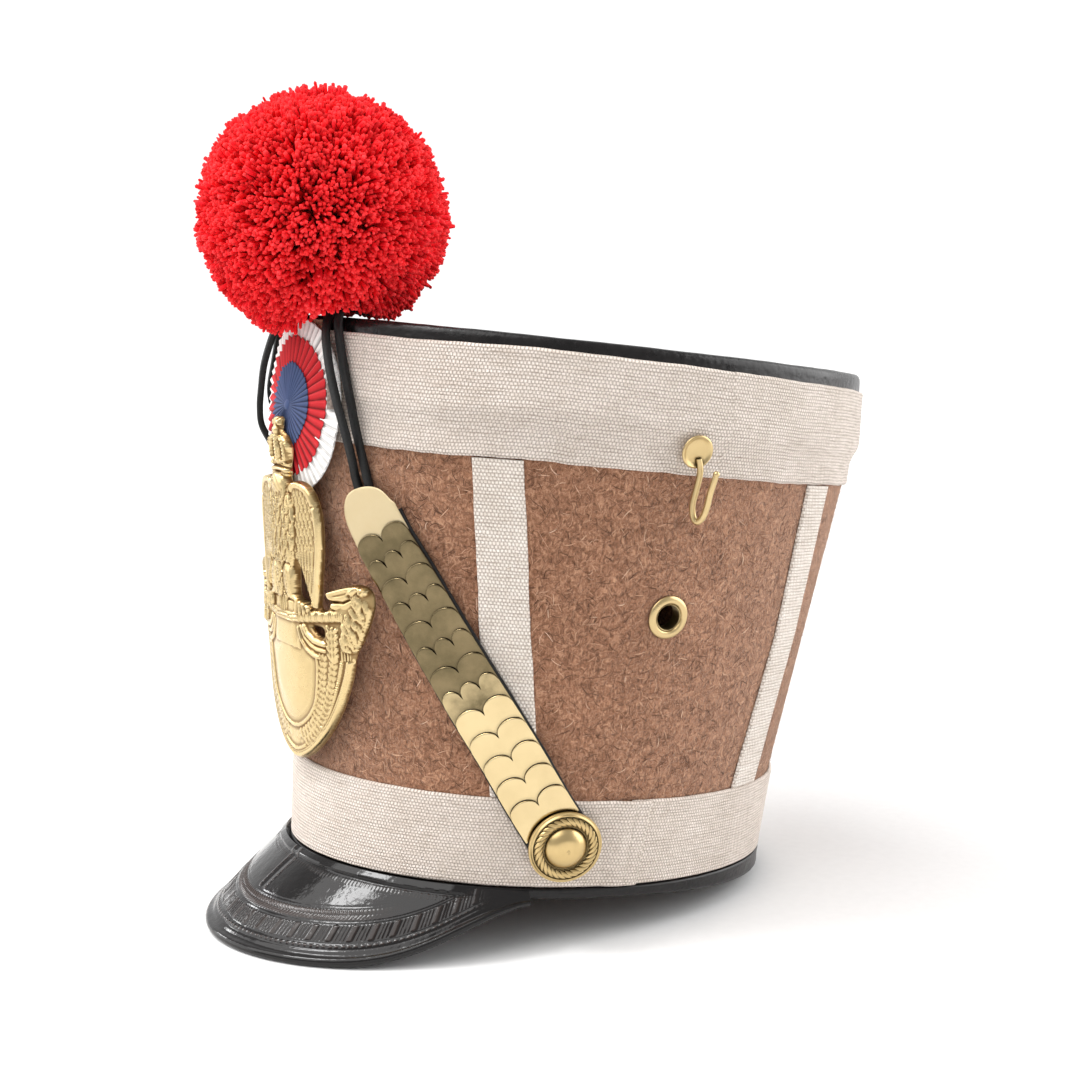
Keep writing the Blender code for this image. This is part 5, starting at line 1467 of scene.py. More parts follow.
# neighbouring yarns lean together into small tufts
tuft_n = 620
tuft_dir, r2 = ball_points(tuft_n, 32)
near = np.argmax(heads @ tuft_dir.T, axis=1)
lean_to = tuft_dir[near]
tuft_pull = r2.uniform(0.05, 0.75, tuft_n)[near]
tuft_long = r2.normal(0, 1.0, tuft_n)[near]
tuft_side = unit(np.cross(tuft_dir, r2.normal(0, 1, (tuft_n, 3))))[near]
long_ones = r.random(YARNS) < 0.025
reach = R_OUT - 2.2 + 1.0 * tuft_long + r.normal(0, 0.75, YARNS) + long_ones * r.uniform(0.8, 2.6, YARNS)
# the outline is a little lumpy
reach += 1.0 * (np.sin(heads[:, 0] * 6.1 + 1.0) * np.sin(heads[:, 2] * 5.3 + 0.4)) + 0.5 * np.sin(heads[:, 1] * 9.0)
reach = np.clip(reach, 40.0, R_OUT + 2.3)
tip_dir = unit(heads + (lean_to - heads) * tuft_pull[:, None] * 0.85 + tuft_side * 0.030
               + r.normal(0, 0.042, heads.shape))
low_pull = np.clip(-heads[:, 2], 0, 1)
seg, sides = 3, 4
curl = unit(np.cross(heads, r.normal(0, 1, heads.shape))) * r.uniform(0.5, 2.8, YARNS)[:, None]
thick = r.uniform(0.56, 0.94, YARNS)
rows_c = []
for i in range(seg):
    t_ = i / (seg - 1)
    d_ = unit(heads * (1 - t_) + tip_dir * t_)
    rad = R_CORE - 1.5 + (reach - R_CORE + 1.5) * t_
    c_ = hub + d_ * rad[:, None] + curl * (math.sin(math.pi * t_) * 0.9 + 0.5 * t_ ** 2)
    rows_c.append(c_)
line_c = np.stack(rows_c, 1)
inside = rim_room(line_c)
# yarns that would enter the rim's room stop before it
ok = inside > 0.5
keep = ok[:, 0].copy()
last_ok = np.where(ok[:, 2], 1.0, np.where(ok[:, 1], 0.50, 0.28))
line_c = line_c[:, :1] + (line_c - line_c[:, :1]) * last_ok[:, None, None]
keep &= (rim_room(line_c) > 0.35).all(1)
keep &= np.linalg.norm(line_c[:, -1] - line_c[:, 0], axis=-1) > 2.0
line_c, thick_k = line_c[keep], thick[keep]
tone_each = np.clip(r.normal(0.5, 0.30, YARNS) + 0.10 * tuft_long, 0, 1)[keep]
count = len(line_c)
way = np.gradient(line_c, axis=1)
way = unit(way)
ref = unit(np.cross(way, r.normal(0, 1, (count, 1, 3))))
ref2 = np.cross(way, ref)
fat = np.array([0.85, 1.08, 1.0])
ang_ = np.arange(sides) / sides * math.tau
pts_ = (line_c[:, :, None] + (ref[:, :, None] * np.cos(ang_)[None, None, :, None]
                              + ref2[:, :, None] * np.sin(ang_)[None, None, :, None])
        * (thick_k[:, None, None, None] * fat[None, :, None, None]))
tip = line_c[:, -1:] + way[:, -1:] * (0.25 + 0.45 * r.random((count, 1, 1)))
pts_ = np.concatenate([pts_.reshape(count, seg * sides, 3), tip], 1)
per = seg * sides + 1
one = quads(seg, sides, wrap_m=True)
cap = np.stack([(seg - 1) * sides + np.arange(sides), (seg - 1) * sides + (np.arange(sides) + 1) % sides,
                np.full(sides, per - 1)], -1)
v_ = np.concatenate([np.repeat(np.linspace(0, 1, seg), sides), [1.0]])
lots = 4
order = np.argsort(np.arctan2(line_c[:, 0, 1] - hub[1], line_c[:, 0, 0] - hub[0]))
for lot in range(lots):
    ids = order[lot * count // lots:(lot + 1) * count // lots]
    n_ = len(ids)
    base = (np.arange(n_) * per)[:, None, None]
    F = [(one[None] + base).reshape(-1, 4), (cap[None] + base).reshape(-1, 3)]
    uv = np.zeros((n_, per, 2))
    uv[:, :, 0] = tone_each[ids][:, None]
    uv[:, :, 1] = v_[None]
    build(f"pompom_yarn_{lot + 1}", pts_[ids].reshape(-1, 3), F, YARN.m, uv=uv, smooth_angle=0,
          instead=["pompom"] if lot == 0 else ())
# dark core, pressed flat where it lies on the rim
core_d, _ = ball_points(3200, 33)
core = bmesh.new()
bmesh.ops.create_icosphere(core, subdivisions=5, radius=1.0)
cv = np.array([v.co[:] for v in core.verts])
cf = np.array([[v.index for v in f.verts] for f in core.faces])
core.free()
rad = np.full(len(cv), R_CORE + 0.8)
rad += 1.2 * np.sin(cv[:, 0] * 23) * np.sin(cv[:, 1] * 19 + 1) * np.sin(cv[:, 2] * 21 + 2)
for _ in range(14):
    p_ = hub + cv * rad[:, None]
    rad = np.where(rim_room(p_) < 0.8, rad * 0.955, rad)
build("pompom_core", hub + cv * rad[:, None], cf, CORE.m, smooth_angle=0)


# ---------------------------------------------------------------- front plate: struck relief
def chaikin(loop, times=2):
    """Rounds a closed outline by cutting its corners."""
    loop = np.asarray(loop, float)
    for _ in range(times):
        nxt = np.roll(loop, -1, 0)
        loop = np.stack([loop * 0.78 + nxt * 0.22, loop * 0.22 + nxt * 0.78], 1).reshape(-1, 2)
    return loop


def distance_in(loop, u, z):
    """Signed distance to a closed outline, positive inside it."""
    p = np.stack([u, z], -1)
    a, b = loop, np.roll(loop, -1, 0)
    best = np.full(u.shape, 1e9)
    inside = np.zeros(u.shape, bool)
    for (ax, ay), (bx, by) in zip(a, b):
        ex, ey = bx - ax, by - ay
        wx, wy = u - ax, z - ay
        t = np.clip((wx * ex + wy * ey) / max(ex * ex + ey * ey, 1e-12), 0, 1)
        dx, dy = wx - t * ex, wy - t * ey
        best = np.minimum(best, dx * dx + dy * dy)
        cond = (ay > z) != (by > z)
        if abs(ey) > 1e-12:
            cross_x = ax + (z - ay) / ey * ex
            inside ^= cond & (u < cross_x)
    best = np.sqrt(best)
    return np.where(inside, best, -best)


half = list(PLATE_HALF)
full = chaikin(half + [(0.0, PLATE_TIP_Z)] + [(-u, z) for u, z in reversed(half)], 2)
holes = [chaikin(h, 2) for h in PLATE_HOLES]
# the opening beside the legs, as wide as it shows between the thigh and the feathers' tips
holes[0] = chaikin(((9.2, 101.4), (9.1, 106.2), (9.4, 113.0), (10.4, 115.4), (12.6, 112.0), (14.4, 108.0), (16.4, 104.0),
                    (18.4, 99.6), (13.4, 100.4)), 2)


def bump_at(u, z, cu, cz, ru, rz, turn=0.0):
    """A smooth half-ellipsoid, 1 in its middle and 0 outside."""
    c, s = math.cos(math.radians(turn)), math.sin(math.radians(turn))
    x = ((u - cu) * c + (z - cz) * s) / ru
    y = (-(u - cu) * s + (z - cz) * c) / rz
    return np.sqrt(np.maximum(0.0, 1 - x * x - y * y))


def line_distance(u, z, pts_):
    """Distance to an open line, and how far along it (0 to 1) the nearest point lies."""
    pts_ = np.asarray(pts_, float)
    seg_ = np.linalg.norm(np.diff(pts_, axis=0), axis=1)
    total, at = seg_.sum(), 0.0
    best, where, side = np.full(u.shape, 1e9), np.zeros(u.shape), np.zeros(u.shape)
    for (ax, ay), (bx, by), L in zip(pts_, pts_[1:], seg_):
        ex, ey = bx - ax, by - ay
        t = np.clip(((u - ax) * ex + (z - ay) * ey) / (ex * ex + ey * ey), 0, 1)
        d = np.hypot(u - ax - t * ex, z - ay - t * ey)
        better = d < best
        best = np.where(better, d, best)
        where = np.where(better, (at + t * L) / total, where)
        side = np.where(better, np.sign(ex * (z - ay) - ey * (u - ax)), side)
        at += L
    return best, where, side


def over(h, new, mask):
    return np.where(mask > 0, np.maximum(h, new), h)


def strand(u, z, line, wide, tall, head=0.35, tail=0.15):
    """A rounded ridge along a line, thinner towards its ends."""
    d_, t_, _ = line_distance(u, z, line)
    w = wide * np.clip(np.minimum(head + t_ * 6, tail + (1 - t_) * 4), 0, 1)
    return tall * np.sqrt(np.maximum(0.0, 1 - (d_ / np.maximum(w, 0.05)) ** 2))


def plume(h, base, u, z, root, tip, wide, lift, shaft=0.2, barbs=0.0):
    """One feather, leaf or lock laid over what is there: it stands up towards its pointed tip."""
    (ax, ay), (bx, by) = root, tip
    L = math.hypot(bx - ax, by - ay)
    cx, cy = (bx - ax) / L, (by - ay) / L
    near_ = np.nonzero((np.abs(u - (ax + bx) / 2) < L / 2 + wide) & (np.abs(z - (ay + by) / 2) < L / 2 + wide))[0]
    if not len(near_):
        return h
    un, zn = u[near_], z[near_]
    s_ = ((un - ax) * cx + (zn - ay) * cy) / L
    w = -(un - ax) * cy + (zn - ay) * cx
    half_w = wide * np.sqrt(np.clip(1 - np.clip((s_ - 0.45) / 0.55, 0, 1) ** 2, 0, 1)) * np.clip(0.45 + s_ * 3, 0, 1)
    inside = (s_ > 0) & (s_ < 1) & (np.abs(w) < half_w)
    q = np.abs(w) / np.maximum(half_w, 1e-3)
    rise = lift * (0.30 + 0.70 * s_) * (1 - 0.6 * q * q) - shaft * np.exp(-(w / 0.25) ** 2)
    rise = rise + barbs * np.cos((s_ * L + np.abs(w) * 1.1) * math.tau / 0.95)
    low_ = base[near_] if hasattr(base, "__len__") else base
    h = h.copy()
    h[near_] = np.where(inside, low_ + rise, h[near_])
    return h


FIELD_HALF = ((0.0, 52.6), (4.4, 53.1), (10.8, 57.3), (15.2, 62.9), (16.7, 70.9), (17.5, 78.7), (16.4, 80.3),
              (13.2, 82.0), (10.8, 85.0), (9.2, 88.6), (8.8, 91.2), (4.5, 90.6), (0.0, 89.8))
LAUREL = (((22.8, 79.8), (21.3, 68.0), (18.9, 61.0), (15.0, 54.0), (9.2, 49.2), (3.2, 47.0)),
          ((28.2, 80.0), (25.4, 68.0), (22.4, 60.4), (18.2, 53.2), (12.6, 47.6), (6.4, 44.2)))
ARCS = ((((13.2, 90.6), (15.0, 88.2), (18.6, 86.2), (24.4, 85.6)), 1.3, 1.3),
        (((11.2, 90.4), (13.5, 86.6), (16.6, 84.3), (20.1, 83.2), (24.3, 83.2)), 0.9, 1.0),
        (((9.6, 89.4), (11.4, 85.2), (14.2, 82.3), (17.6, 80.7), (21.2, 80.3)), 0.9, 1.1))
WING_EDGE = ((8.8, 141.6), (10.4, 143.2), (12.8, 143.5), (15.3, 143.0), (17.6, 141.9), (19.5, 139.9), (21.0, 137.2),
             (22.1, 133.9), (22.7, 130.0), (22.9, 125.0), (22.6, 119.5), (22.0, 114.5), (21.3, 109.0), (20.7, 103.5),
             (20.2, 99.2))
PRIMARIES = ((10.6, 112.0), (11.6, 108.4), (12.8, 105.2), (14.2, 102.4), (15.8, 100.0), (17.3, 98.9), (18.8, 98.8),
             (20.0, 98.8))
TOES = ((9.8, 95.4), (12.3, 94.8), (14.8, 95.3), (17.0, 96.6))


def plate_relief(U, z, d, rim):
    """Height of the struck relief over the sheet: d is the distance inside the outline and the
    openings, rim the distance inside the outline alone. Mirrored in u."""
    u = np.abs(U)
    mixed = np.random.default_rng(12)
    shield = smooth((101.0 - z) / 2.5)
    low_part = smooth((83.5 - z) / 2.0)

    # ---- crescent shield: rounded border, ribbed line, laurel, smooth strip, bare field
    field = np.asarray(FIELD_HALF)
    loop = np.concatenate([field, field[::-1] * [-1.0, 1.0]])
    fd = distance_in(chaikin(loop, 2), U, z)
    border = 1.15 * np.sqrt(np.maximum(0.0, 1 - ((rim - 1.5) / 1.7) ** 2)) - 0.35 * np.exp(-((rim - 2.15) / 0.22) ** 2) * smooth((70 - z) / 4)
    at_ = 3.3 + 1.2 * smooth((z - 58) / 20)
    ribs_on = smooth((z - 60.0) / 4.0)
    line_ = 0.95 * np.sqrt(np.maximum(0.0, 1 - ((rim - at_ - 0.5) / 0.85) ** 2))
    line_ = line_ * (1 - ribs_on * (0.28 - 0.28 * np.cos(z * math.tau / 0.95)))
    strip = 0.95 * np.sqrt(np.maximum(0.0, 1 - ((fd + 2.3) / 0.75) ** 2))
    h = 0.25 + low_part * (np.maximum(border, line_) + strip)
    h = h + low_part * (fd > 0) * (0.25 + 0.95 * smooth(fd / 9.0))
    h = h - low_part * 0.30 * np.exp(-(fd / 0.35) ** 2)
    # laurel in two columns: pairs of pointed leaves on a stem
    for col in LAUREL:
        col = np.asarray(col, float)
        step_ = np.concatenate([[0], np.cumsum(np.linalg.norm(np.diff(col, axis=0), axis=1))])
        stem_d = line_distance(u, z, col)[0]
        h = np.maximum(h, 0.25 + 0.35 * np.sqrt(np.maximum(0, 1 - (stem_d / 2.2) ** 2)) * (z < 80.5))
        for s_ in np.arange(step_[-1] - 1.2, 0.4, -2.45):
            x0, y0 = np.interp(s_, step_, col[:, 0]), np.interp(s_, step_, col[:, 1])
            x1, y1 = np.interp(s_ - 2.0, step_, col[:, 0]), np.interp(s_ - 2.0, step_, col[:, 1])
            up_ = math.atan2(y1 - y0, x1 - x0)
            for turn_, long_ in ((0.60, 3.4), (-0.60, 3.4), (0.0, 3.0)):
                h = plume(h, 0.48, u, z, (x0, y0), (x0 + long_ * math.cos(up_ + turn_), y0 + long_ * math.sin(up_ + turn_)),
                          0.74, 0.68, shaft=0.20)

    # ---- between the field and the bar: a rising neck, arcs round the openings, and a sprig
    neck = smooth((z - 79.5) / 3.0) * smooth((11.2 - u) / 1.2) * shield
    h = np.maximum(h, neck * (1.15 + 0.4 * smooth((9.2 - u) / 3.0)))
    bed = smooth((z - 80.2) / 1.0) * smooth((95.5 - z) / 1.2) * smooth((31.0 - u) / 0.8)
    h = np.maximum(h, 0.45 * bed)
    for line_, wide_, tall_ in ARCS:
        h = np.maximum(h, 0.45 + strand(u, z, line_, wide_, tall_, head=1.0, tail=0.7))
    for z0 in np.arange(90.6, 78.6, -2.5):
        for sgn in (-1, 1):
            h = plume(h, 0.75, u, z, (28.0, z0 - 1.3), (28.0 + 2.7 * sgn, z0 + 2.5), 0.85, 0.85, shaft=0.2)
        h = plume(h, 0.95, u, z, (28.0, z0 - 1.0), (28.0, z0 + 2.4), 0.6, 0.7, shaft=0.12)
    fer = smooth((2.7 - np.abs(u - 34.0)) / 0.4) * smooth((z - 80.8) / 0.5) * smooth((86.6 - z) / 0.5) * (rim > 0)
    h = np.where(fer > 0, np.maximum(h * (1 - fer), fer * (0.95 + 0.42 * np.cos(u * math.tau / 1.35))), h)

    # ---- ribbed bar that the bird stands on
    bar_z = 92.0 + 0.176 * u + 1.0 * smooth((6 - u) / 6)
    bar = np.sqrt(np.maximum(0.0, 1 - ((z - bar_z) / 2.25) ** 2))
    ribs = np.where(u > 10.4, 0.24 * np.cos(u * math.tau / 1.05), 0.28 * np.cos((z - bar_z) * math.tau / 1.3))
    h = over(h, 0.8 + 1.3 * bar + ribs * (bar > 0.2) * np.minimum(1, bar * 1.6), (bar > 0) & (u < 34.5) & (d > 0))

    # ---- wings: rows of long feathers, small ones above, and a thick smooth leading edge
    wd, wt, wside = line_distance(u, z, WING_EDGE)
    wing = (u > 8.2) & (u < 23.6) & (z > 98.6) & (z < 143.2) & (d > 0)
    h = np.where(wing, np.maximum(h * (z < 100.5), 0.45), h)
    for i, (tx, ty) in enumerate(PRIMARIES):
        q = i / (len(PRIMARIES) - 1)
        h = plume(h, 0.35 + 0.09 * i, u, z, (10.6 + 10.0 * q, 120.0 + 6.0 * q), (tx, ty), 1.15, 1.15, shaft=0.34, barbs=0.10)
    for i in range(6):
        q = i / 5
        h = plume(h, 0.70 + 0.05 * i, u, z, (10.0 + 10.2 * q, 124.0 + 4.5 * q), (10.8 + 8.8 * q, 112.8 - 1.5 * q), 1.15, 1.15, shaft=0.30, barbs=0.08)
    for row_, z0 in enumerate(np.arange(120.0, 142.0, 2.9)):
        for x0 in np.arange(9.4 + 1.1 * (row_ % 2), 21.8, 2.2):
            h = plume(h, 0.75 + 0.03 * row_, u, z, (x0 - 0.5, z0 + 3.6 + 0.12 * x0), (x0 + 0.5, z0 - 2.9 + 0.12 * x0), 1.2, 1.15, shaft=0.30, barbs=0.08)
    lead_w = 1.9 - 0.8 * wt
    lead = np.sqrt(np.maximum(0.0, 1 - (wd / lead_w) ** 2))
    notch = 0.7 * np.exp(-((wt - 0.31) / 0.010) ** 2)
    h = over(h, 0.8 + (1.5 - 0.4 * wt) * lead - notch * lead, (lead > 0) & (z > 98.8) & (d > 0))

    # ---- bird's body: rounded, overlapping feathers, thighs, feet and tail
    body_w = np.interp(z, (98, 104, 110, 116, 122, 130, 136, 141, 146), (3.0, 5.0, 7.0, 9.0, 10.0, 10.2, 9.4, 7.4, 5.6))
    q = np.clip(u / body_w, 0, 1.2)
    body = np.sqrt(np.maximum(0.0, 1 - q * q)) * smooth((z - 97.0) / 5.0) * smooth((147.5 - z) / 3.0)
    on_body = (body > 0.02) & (z > 97.5) & (d > 0)
    base_b = 0.8 + 1.7 * body
    h = np.where(on_body, base_b, h)
    for row_, z0 in enumerate(np.arange(103.0, 143.5, 2.7)):
        wide_here = float(np.interp(z0, (98, 104, 110, 116, 122, 130, 136, 141, 146), (3.0, 5.0, 7.0, 9.0, 10.0, 10.2, 9.4, 7.4, 5.6)))
        for x0 in np.arange(-12.0 + 1.6 * (row_ % 2), 12.1, 3.2):
            if abs(x0) < wide_here + 0.6:
                jx, jz = mixed.normal(0, 0.25), mixed.normal(0, 0.3)
                h2 = plume(h, base_b, U, z, (x0 + jx, z0 + 4.2 + jz), (x0 * 1.05 + jx + 1.3 * mixed.normal(), z0 - 3.6 + jz), 1.75, 1.55, shaft=0.45, barbs=0.12)
                h = np.where(on_body, h2, h)
    thigh = bump_at(u, z, 5.4, 107.0, 3.9, 7.4, 8)
    base_t = 1.3 + 1.7 * thigh
    h = over(h, base_t, thigh > 0)
    for row_, z0 in enumerate(np.arange(102.0, 112.5, 2.4)):
        for x0 in np.arange(2.4 + 1.0 * (row_ % 2), 9.0, 2.0):
            h2 = plume(h, base_t, u, z, (x0, z0 + 2.4), (x0 + 0.5, z0 - 2.2), 1.1, 0.65, shaft=0.22, barbs=0.06)
            h = np.where(thigh > 0.05, h2, h)
    shank = strand(u, z, ((6.6, 101.5), (9.6, 100.6), (12.0, 100.2)), 1.4, 1.4, head=1.0, tail=1.0)
    h = np.where(shank > 0, np.maximum(h, 1.3 + shank), h)
    for tx, ty in TOES:
        toe = strand(u, z, ((11.8, 101.0), ((11.8 + tx) / 2, 100.2), (tx + 0.1, (ty + 99.4) / 2), (tx, ty)), 0.85, 1.25, head=1.0, tail=0.25)
        h = np.where(toe > 0, np.maximum(h, 1.7 + toe), h)
    tail = bump_at(u, z, 0.0, 99.0, 3.2, 6.5)
    h = over(h, 1.5 + 0.8 * tail + 0.30 * np.cos(U * math.tau / 1.3) * (tail > 0), tail > 0)

    # ---- head, collar and crown
    head = bump_at(U, z, 0.6, 142.4, 5.2, 4.3)
    h = over(h, 2.2 + 1.7 * head + 0.16 * np.cos((U + z) * 2.4) * head, head > 0)
    beak = bump_at(U, z, -5.4, 141.4, 2.9, 1.5, 24)
    h = over(h, 2.2 + 1.3 * beak, beak > 0)
    eye = bump_at(U, z, -2.2, 143.3, 0.8, 0.7)
    h = h - 0.5 * eye
    for cz, half_z, tall in ((148.1, 0.85, 1.35), (146.5, 0.72, 1.15)):
        ring_ = np.sqrt(np.maximum(0, 1 - ((z - cz + 0.012 * u * u) / half_z) ** 2)) * (u < 7.4)
        h = over(h, 0.9 + tall * ring_ * np.sqrt(np.maximum(0, 1 - (u / 8.4) ** 2)), ring_ > 0)
    bead = np.sqrt(np.maximum(0, 1 - (((u + 0.6) % 1.3 - 0.65) / 0.62) ** 2 - ((z - 150.3 + 0.012 * u * u) / 0.72) ** 2)) * (u < 7.4)
    h = over(h, 1.1 + 1.1 * bead * np.sqrt(np.maximum(0, 1 - (u / 8.6) ** 2)), bead > 0)
    ball = bump_at(U, z, 0.0, 155.4, 9.0, 5.6)
    base_c = 0.9 + 1.1 * ball
    h = over(h, base_c, ball > 0)
    arches = np.zeros_like(h)
    for cu, wide_ in ((0.0, 0.95), (5.5, 0.85), (8.2, 0.8)):
        bend = cu * np.sqrt(np.maximum(0.0, 1 - ((z - 154.4) / 6.6) ** 2))
        q = (u - bend) / wide_
        beads = 0.68 + 0.32 * np.cos(z * math.tau / 1.25)
        arches = np.maximum(arches, 0.85 * beads * np.sqrt(np.maximum(0.0, 1 - q * q)))
    slit = smooth((1.65 - np.abs(u - 3.2 * np.sqrt(np.maximum(0.0, 1 - ((z - 154.4) / 6.6) ** 2)))) / 0.35) * smooth((3.9 - np.abs(z - 155.2)) / 1.0)
    h = np.where(ball > 0, np.maximum(base_c - 1.6 * slit, 0.15) + arches * np.clip(ball * 2.4, 0, 1), h)
    orb = bump_at(U, z, 0.0, 162.1, 1.9, 1.6)
    h = over(h, 1.0 + 1.2 * orb, orb > 0)
    arm = np.clip((np.abs(z - 165.3)) / 2.4, 0, 1)
    arm_h = np.clip(u / 2.9, 0, 1)
    cross = np.maximum(smooth((0.7 + 0.8 * arm - u) / 0.35) * smooth((2.5 - np.abs(z - 165.3)) / 0.3),
                       smooth((0.6 + 0.75 * arm_h - np.abs(z - 165.3)) / 0.35) * smooth((2.9 - u) / 0.3))
    h = over(h, 0.7 + 0.7 * cross, cross > 0)

    nook = distance_in(chaikin(((9.6, 131.2), (9.2, 133.6), (9.9, 136.6), (11.4, 135.0), (11.6, 131.6)), 2), u, z)
    h = np.where(nook > 0, h * (1 - smooth(nook / 0.5)) + 0.05, h)

    # ---- lion heads at the shield's shoulders, with flowing manes
    face = ((38.8, 108.6), (38.8, 104.9), (37.8, 102.5), (35.5, 98.4), (33.6, 94.8), (32.9, 89.1))
    _, _, fside = line_distance(u, z, face)
    lion = (u > 31.0) & (z > 84.5) & (rim > 0)
    base_l = 0.6 + 1.3 * smooth(rim / 5.0)
    h = np.where(lion & ((u > 33.0) | (z > 95.5)), np.maximum(h, base_l), h)
    locks = []
    for t_ in np.linspace(0.0, 1.0, 9):
        run_ = np.asarray(face)
        y0 = 108.6 - t_ * 19.0
        x0 = float(np.interp(y0, run_[::-1, 1], run_[::-1, 0]))
        for k_ in range(6):
            locks.append((y0 - 1.9 * k_ + mixed.normal(0, 0.4), x0 + 1.75 * k_ + mixed.normal(0, 0.3)))
    for y0, x0 in sorted(locks):
        if y0 > 86.5:
            turn_ = math.radians(-62 + 15 * math.sin(x0 * 0.9 + y0 * 0.35) + mixed.normal(0, 5))
            L_ = 4.9
            tip_ = (x0 + L_ * math.cos(turn_), y0 + L_ * math.sin(turn_))
            h2 = plume(h, base_l, u, z, (x0, y0), tip_, 1.15, 1.25, shaft=0.36)
            h = np.where(lion & (rim > 0.25), h2, h)
    cheek = bump_at(u, z, 35.2, 104.0, 4.6, 4.2, 30)
    h = over(h, 1.3 + 1.1 * cheek, (cheek > 0) & (rim > 0))
    lip = strand(u, z, ((27.2, 105.0), (31.0, 106.2), (36.0, 107.9), (40.5, 109.0)), 1.5, 1.3, head=0.8, tail=0.5)
    h = np.where((lip > 0) & (rim > 0), np.maximum(h, 1.3 + lip), h)
    nose = strand(u, z, ((27.6, 103.7), (31.5, 104.0), (35.2, 105.1), (38.4, 107.0)), 1.2, 1.1, head=0.9, tail=0.6)
    h = np.where((nose > 0) & (rim > 0), np.maximum(h, 1.4 + nose), h)
    jaw = bump_at(u, z, 31.2, 101.3, 3.4, 1.7, 14)
    h = over(h, 1.1 + 1.3 * jaw, (jaw > 0) & (rim > 0))
    mouth = line_distance(u, z, ((27.0, 102.5), (30.3, 102.7), (34.6, 103.0), (37.4, 104.6)))[0]
    h = h - 1.3 * np.exp(-(mouth / 0.42) ** 2) * (rim > 0)
    brow = bump_at(u, z, 38.4, 107.4, 2.7, 1.3, 34)
    h = over(h, 2.0 + 1.0 * brow, (brow > 0) & (rim > 0))
    lion_eye = bump_at(u, z, 37.2, 106.0, 1.0, 0.7, 30)
    h = h - 0.9 * lion_eye * (rim > 0)
    ear = bump_at(u, z, 42.6, 108.2, 2.0, 1.5, 20)
    h = over(h, 1.9 + 0.9 * ear - 0.7 * bump_at(u, z, 42.6, 108.2, 1.1, 0.8, 20), (ear > 0) & (rim > 0))
    return np.maximum(h, 0.05)


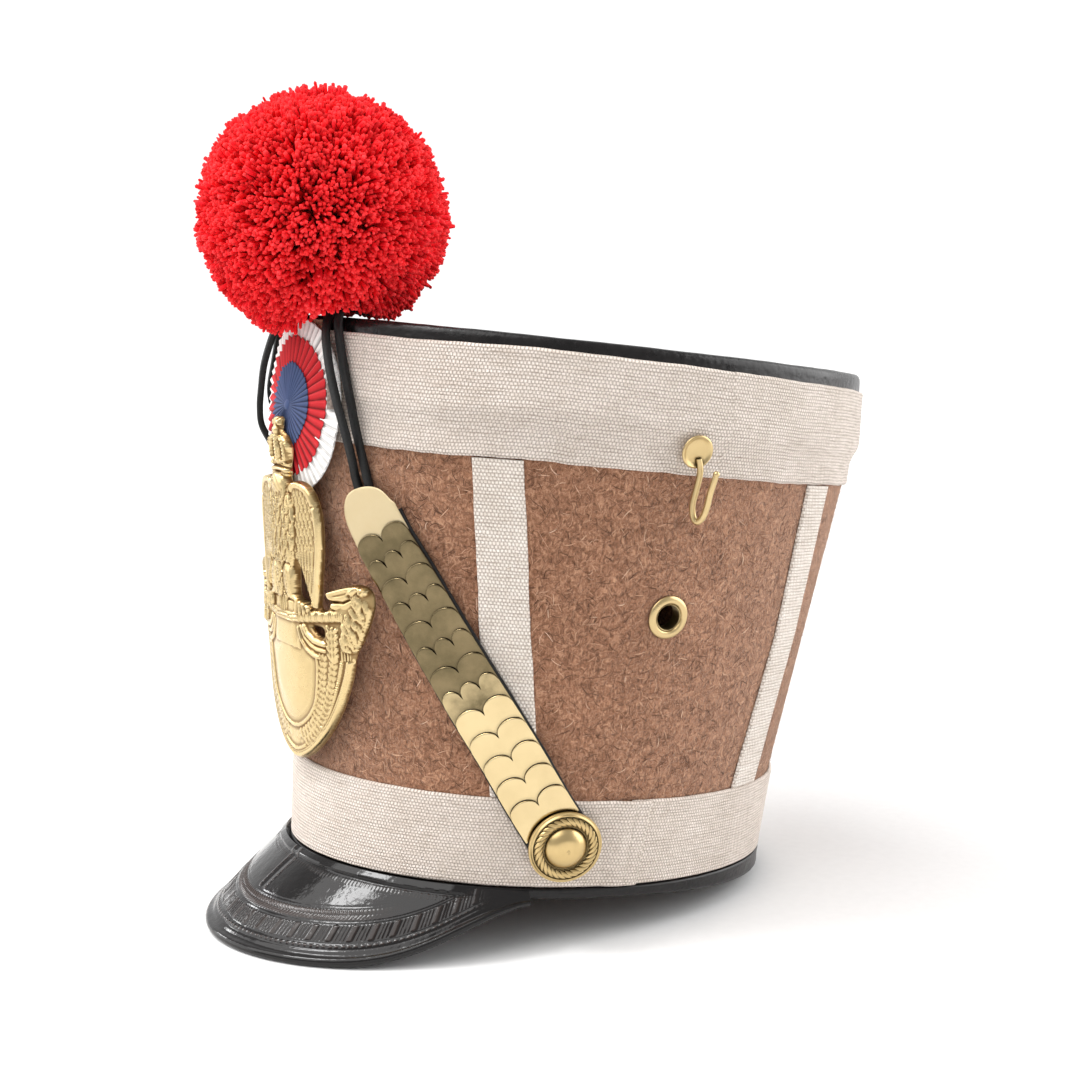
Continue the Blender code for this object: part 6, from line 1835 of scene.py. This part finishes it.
def plate_mesh():
    step = 0.455
    us = np.arange(-47.2, 47.2 + step, step)
    zs = np.arange(36.2, 171.8 + step, step)
    U, Z = np.meshgrid(us, zs, indexing="ij")
    d = distance_in(full, U, Z)
    outer_d = d.copy()
    for hole in holes:
        d = np.minimum(d, -distance_in(hole, np.abs(U), Z))
    # pull the grid's points near the outline onto it, so that its edge is smooth
    gu, gz = np.gradient(d, step)
    g = np.maximum(np.hypot(gu, gz), 0.3)
    close = np.abs(d) < step * 0.62
    U2 = np.where(close, U - d * gu / g ** 2, U)
    Z2 = np.where(close, Z - d * gz / g ** 2, Z)
    inside = (d > 0) | close
    n, m = U.shape
    q = quads(n, m)
    full_q = inside.ravel()[q].all(1)
    three = inside.ravel()[q].sum(1) == 3
    tri = []
    for f in q[three]:
        tri.append([v for v in f if inside.ravel()[v]])
    fq = q[full_q]
    ft = np.array(tri, int).reshape(-1, 3)
    # keep only the points that the faces use, and number them anew
    cen = lambda f: (U2.ravel()[f].mean(1), Z2.ravel()[f].mean(1))
    used = np.unique(np.concatenate([fq.ravel(), ft.ravel()]))
    renum = -np.ones(n * m, int)
    renum[used] = np.arange(len(used))
    fq, ft = renum[fq], renum[ft]
    u, z, dd = U2.ravel()[used], Z2.ravel()[used], np.where(close, 0, d).ravel()[used]
    rim_d = np.maximum(outer_d.ravel()[used], 0.0)
    base = np.interp(z, *zip(*PLATE_BACK))
    rel = plate_relief(u, z, dd, rim_d)
    edge = PLATE_SHEET * 0.45 + PLATE_SHEET * 0.55 * np.sqrt(np.clip(1 - (1 - np.clip(dd / 0.9, 0, 1)) ** 2, 0, 1))
    front = skin(front_degrees(u, z), z, base + edge + rel * smooth(dd / 1.0) * 0.90)
    back_ = skin(front_degrees(u, z), z, base)
    k = len(used)
    # open edges of the front sheet, for the plate's rim
    def edges(f):
        return np.concatenate([np.stack([f[:, i], f[:, (i + 1) % f.shape[1]]], 1) for i in range(f.shape[1])])
    E = np.concatenate([edges(fq), edges(ft)])
    key = E[:, 0].astype(np.int64) * k + E[:, 1]
    rev = E[:, 1].astype(np.int64) * k + E[:, 0]
    border = E[~np.isin(key, rev)]
    rim = np.stack([border[:, 1], border[:, 0], border[:, 0] + k, border[:, 1] + k], 1)
    # hollow of the relief, 0 on the crests and 1 in the deepest folds: from it the plate's colour is painted darker in
    # the hollows, as shade
    sheet_h = np.zeros(n * m)
    sheet_h[used] = rel
    filled = np.zeros(n * m)
    filled[used] = 1.0
    soft_h, soft_w = sheet_h.reshape(n, m), filled.reshape(n, m)
    for _ in range(7):
        for axis in (0, 1):
            soft_h = (np.roll(soft_h, 1, axis) + soft_h * 2 + np.roll(soft_h, -1, axis)) / 4
            soft_w = (np.roll(soft_w, 1, axis) + soft_w * 2 + np.roll(soft_w, -1, axis)) / 4
    hollow = np.clip(0.5 + (soft_h / np.maximum(soft_w, 1e-3)).ravel()[used] - rel, 0, 1)
    uv = np.stack([np.concatenate([hollow, hollow * 0 + 0.4]), np.concatenate([z, z])], -1)
    return np.concatenate([front, back_]), [fq, ft, fq[:, ::-1] + k, ft[:, ::-1] + k, rim], uv


def plate_brass():
    k = Look("plate_metal", (0.82, 0.60, 0.27), 0.32, 1.0)
    broad = k.noise(85.0, 4.0, 0.6)
    fine = k.noise(1100.0, 3.0)
    lie = k.node("SeparateXYZ", 0, Vector=k.cloth())
    # painted shade: the hollows of the relief are darkened towards a deep brown
    low = k.ramp(lie, (0.50, 0.0), (0.60, 0.62), (0.82, 0.97))
    worn = k.ramp(lie, (0.15, 0.35), (0.42, 0.0))
    ao = k.node("AmbientOcclusion", 1, {"samples": 6}, Distance=0.0022)
    tone = k.mix(k.math("MULTIPLY", k.ramp(broad, (0.4, 0.0), (0.75, 1.0)), 0.25), (0.68, 0.52, 0.265), (0.50, 0.35, 0.155))
    tone = k.mix(worn, tone, (0.84, 0.67, 0.38))
    tone = k.mix(low, tone, (0.19, 0.105, 0.038))
    # painted shade: darker where ambient occlusion finds the relief close by
    tone = k.mix(k.range(ao, 0.35, 0.97, 0.85, 0.0), tone, (0.16, 0.085, 0.03))
    k.set(Base_Color=tone, Normal=k.bump(fine, 0.12, 0.06, before=k.bump(broad, 0.05, 0.6)),
          Roughness=k.math("ADD", k.range(broad, 0.3, 0.7, 0.22, 0.32), k.math("MULTIPLY", low, 0.25)))
    return k


p_, f_, uv_ = plate_mesh()
build("front_plate_struck", p_, f_, plate_brass().m, uv=uv_, smooth_angle=62, instead=["plate"])

# ---------------------------------------------------------------- pompom's stem, hidden by the yarn
STEEL = Look("stem_steel", (0.42, 0.41, 0.40), 0.38, 1.0)
STEEL.set(Roughness=STEEL.range(STEEL.noise(300.0, 3.0), 0.3, 0.7, 0.30, 0.48))
for obj in bpy.data.objects:
    if obj.name == "pompom_stem" and obj.type == "MESH":
        for s_ in obj.material_slots:
            s_.material = STEEL.m
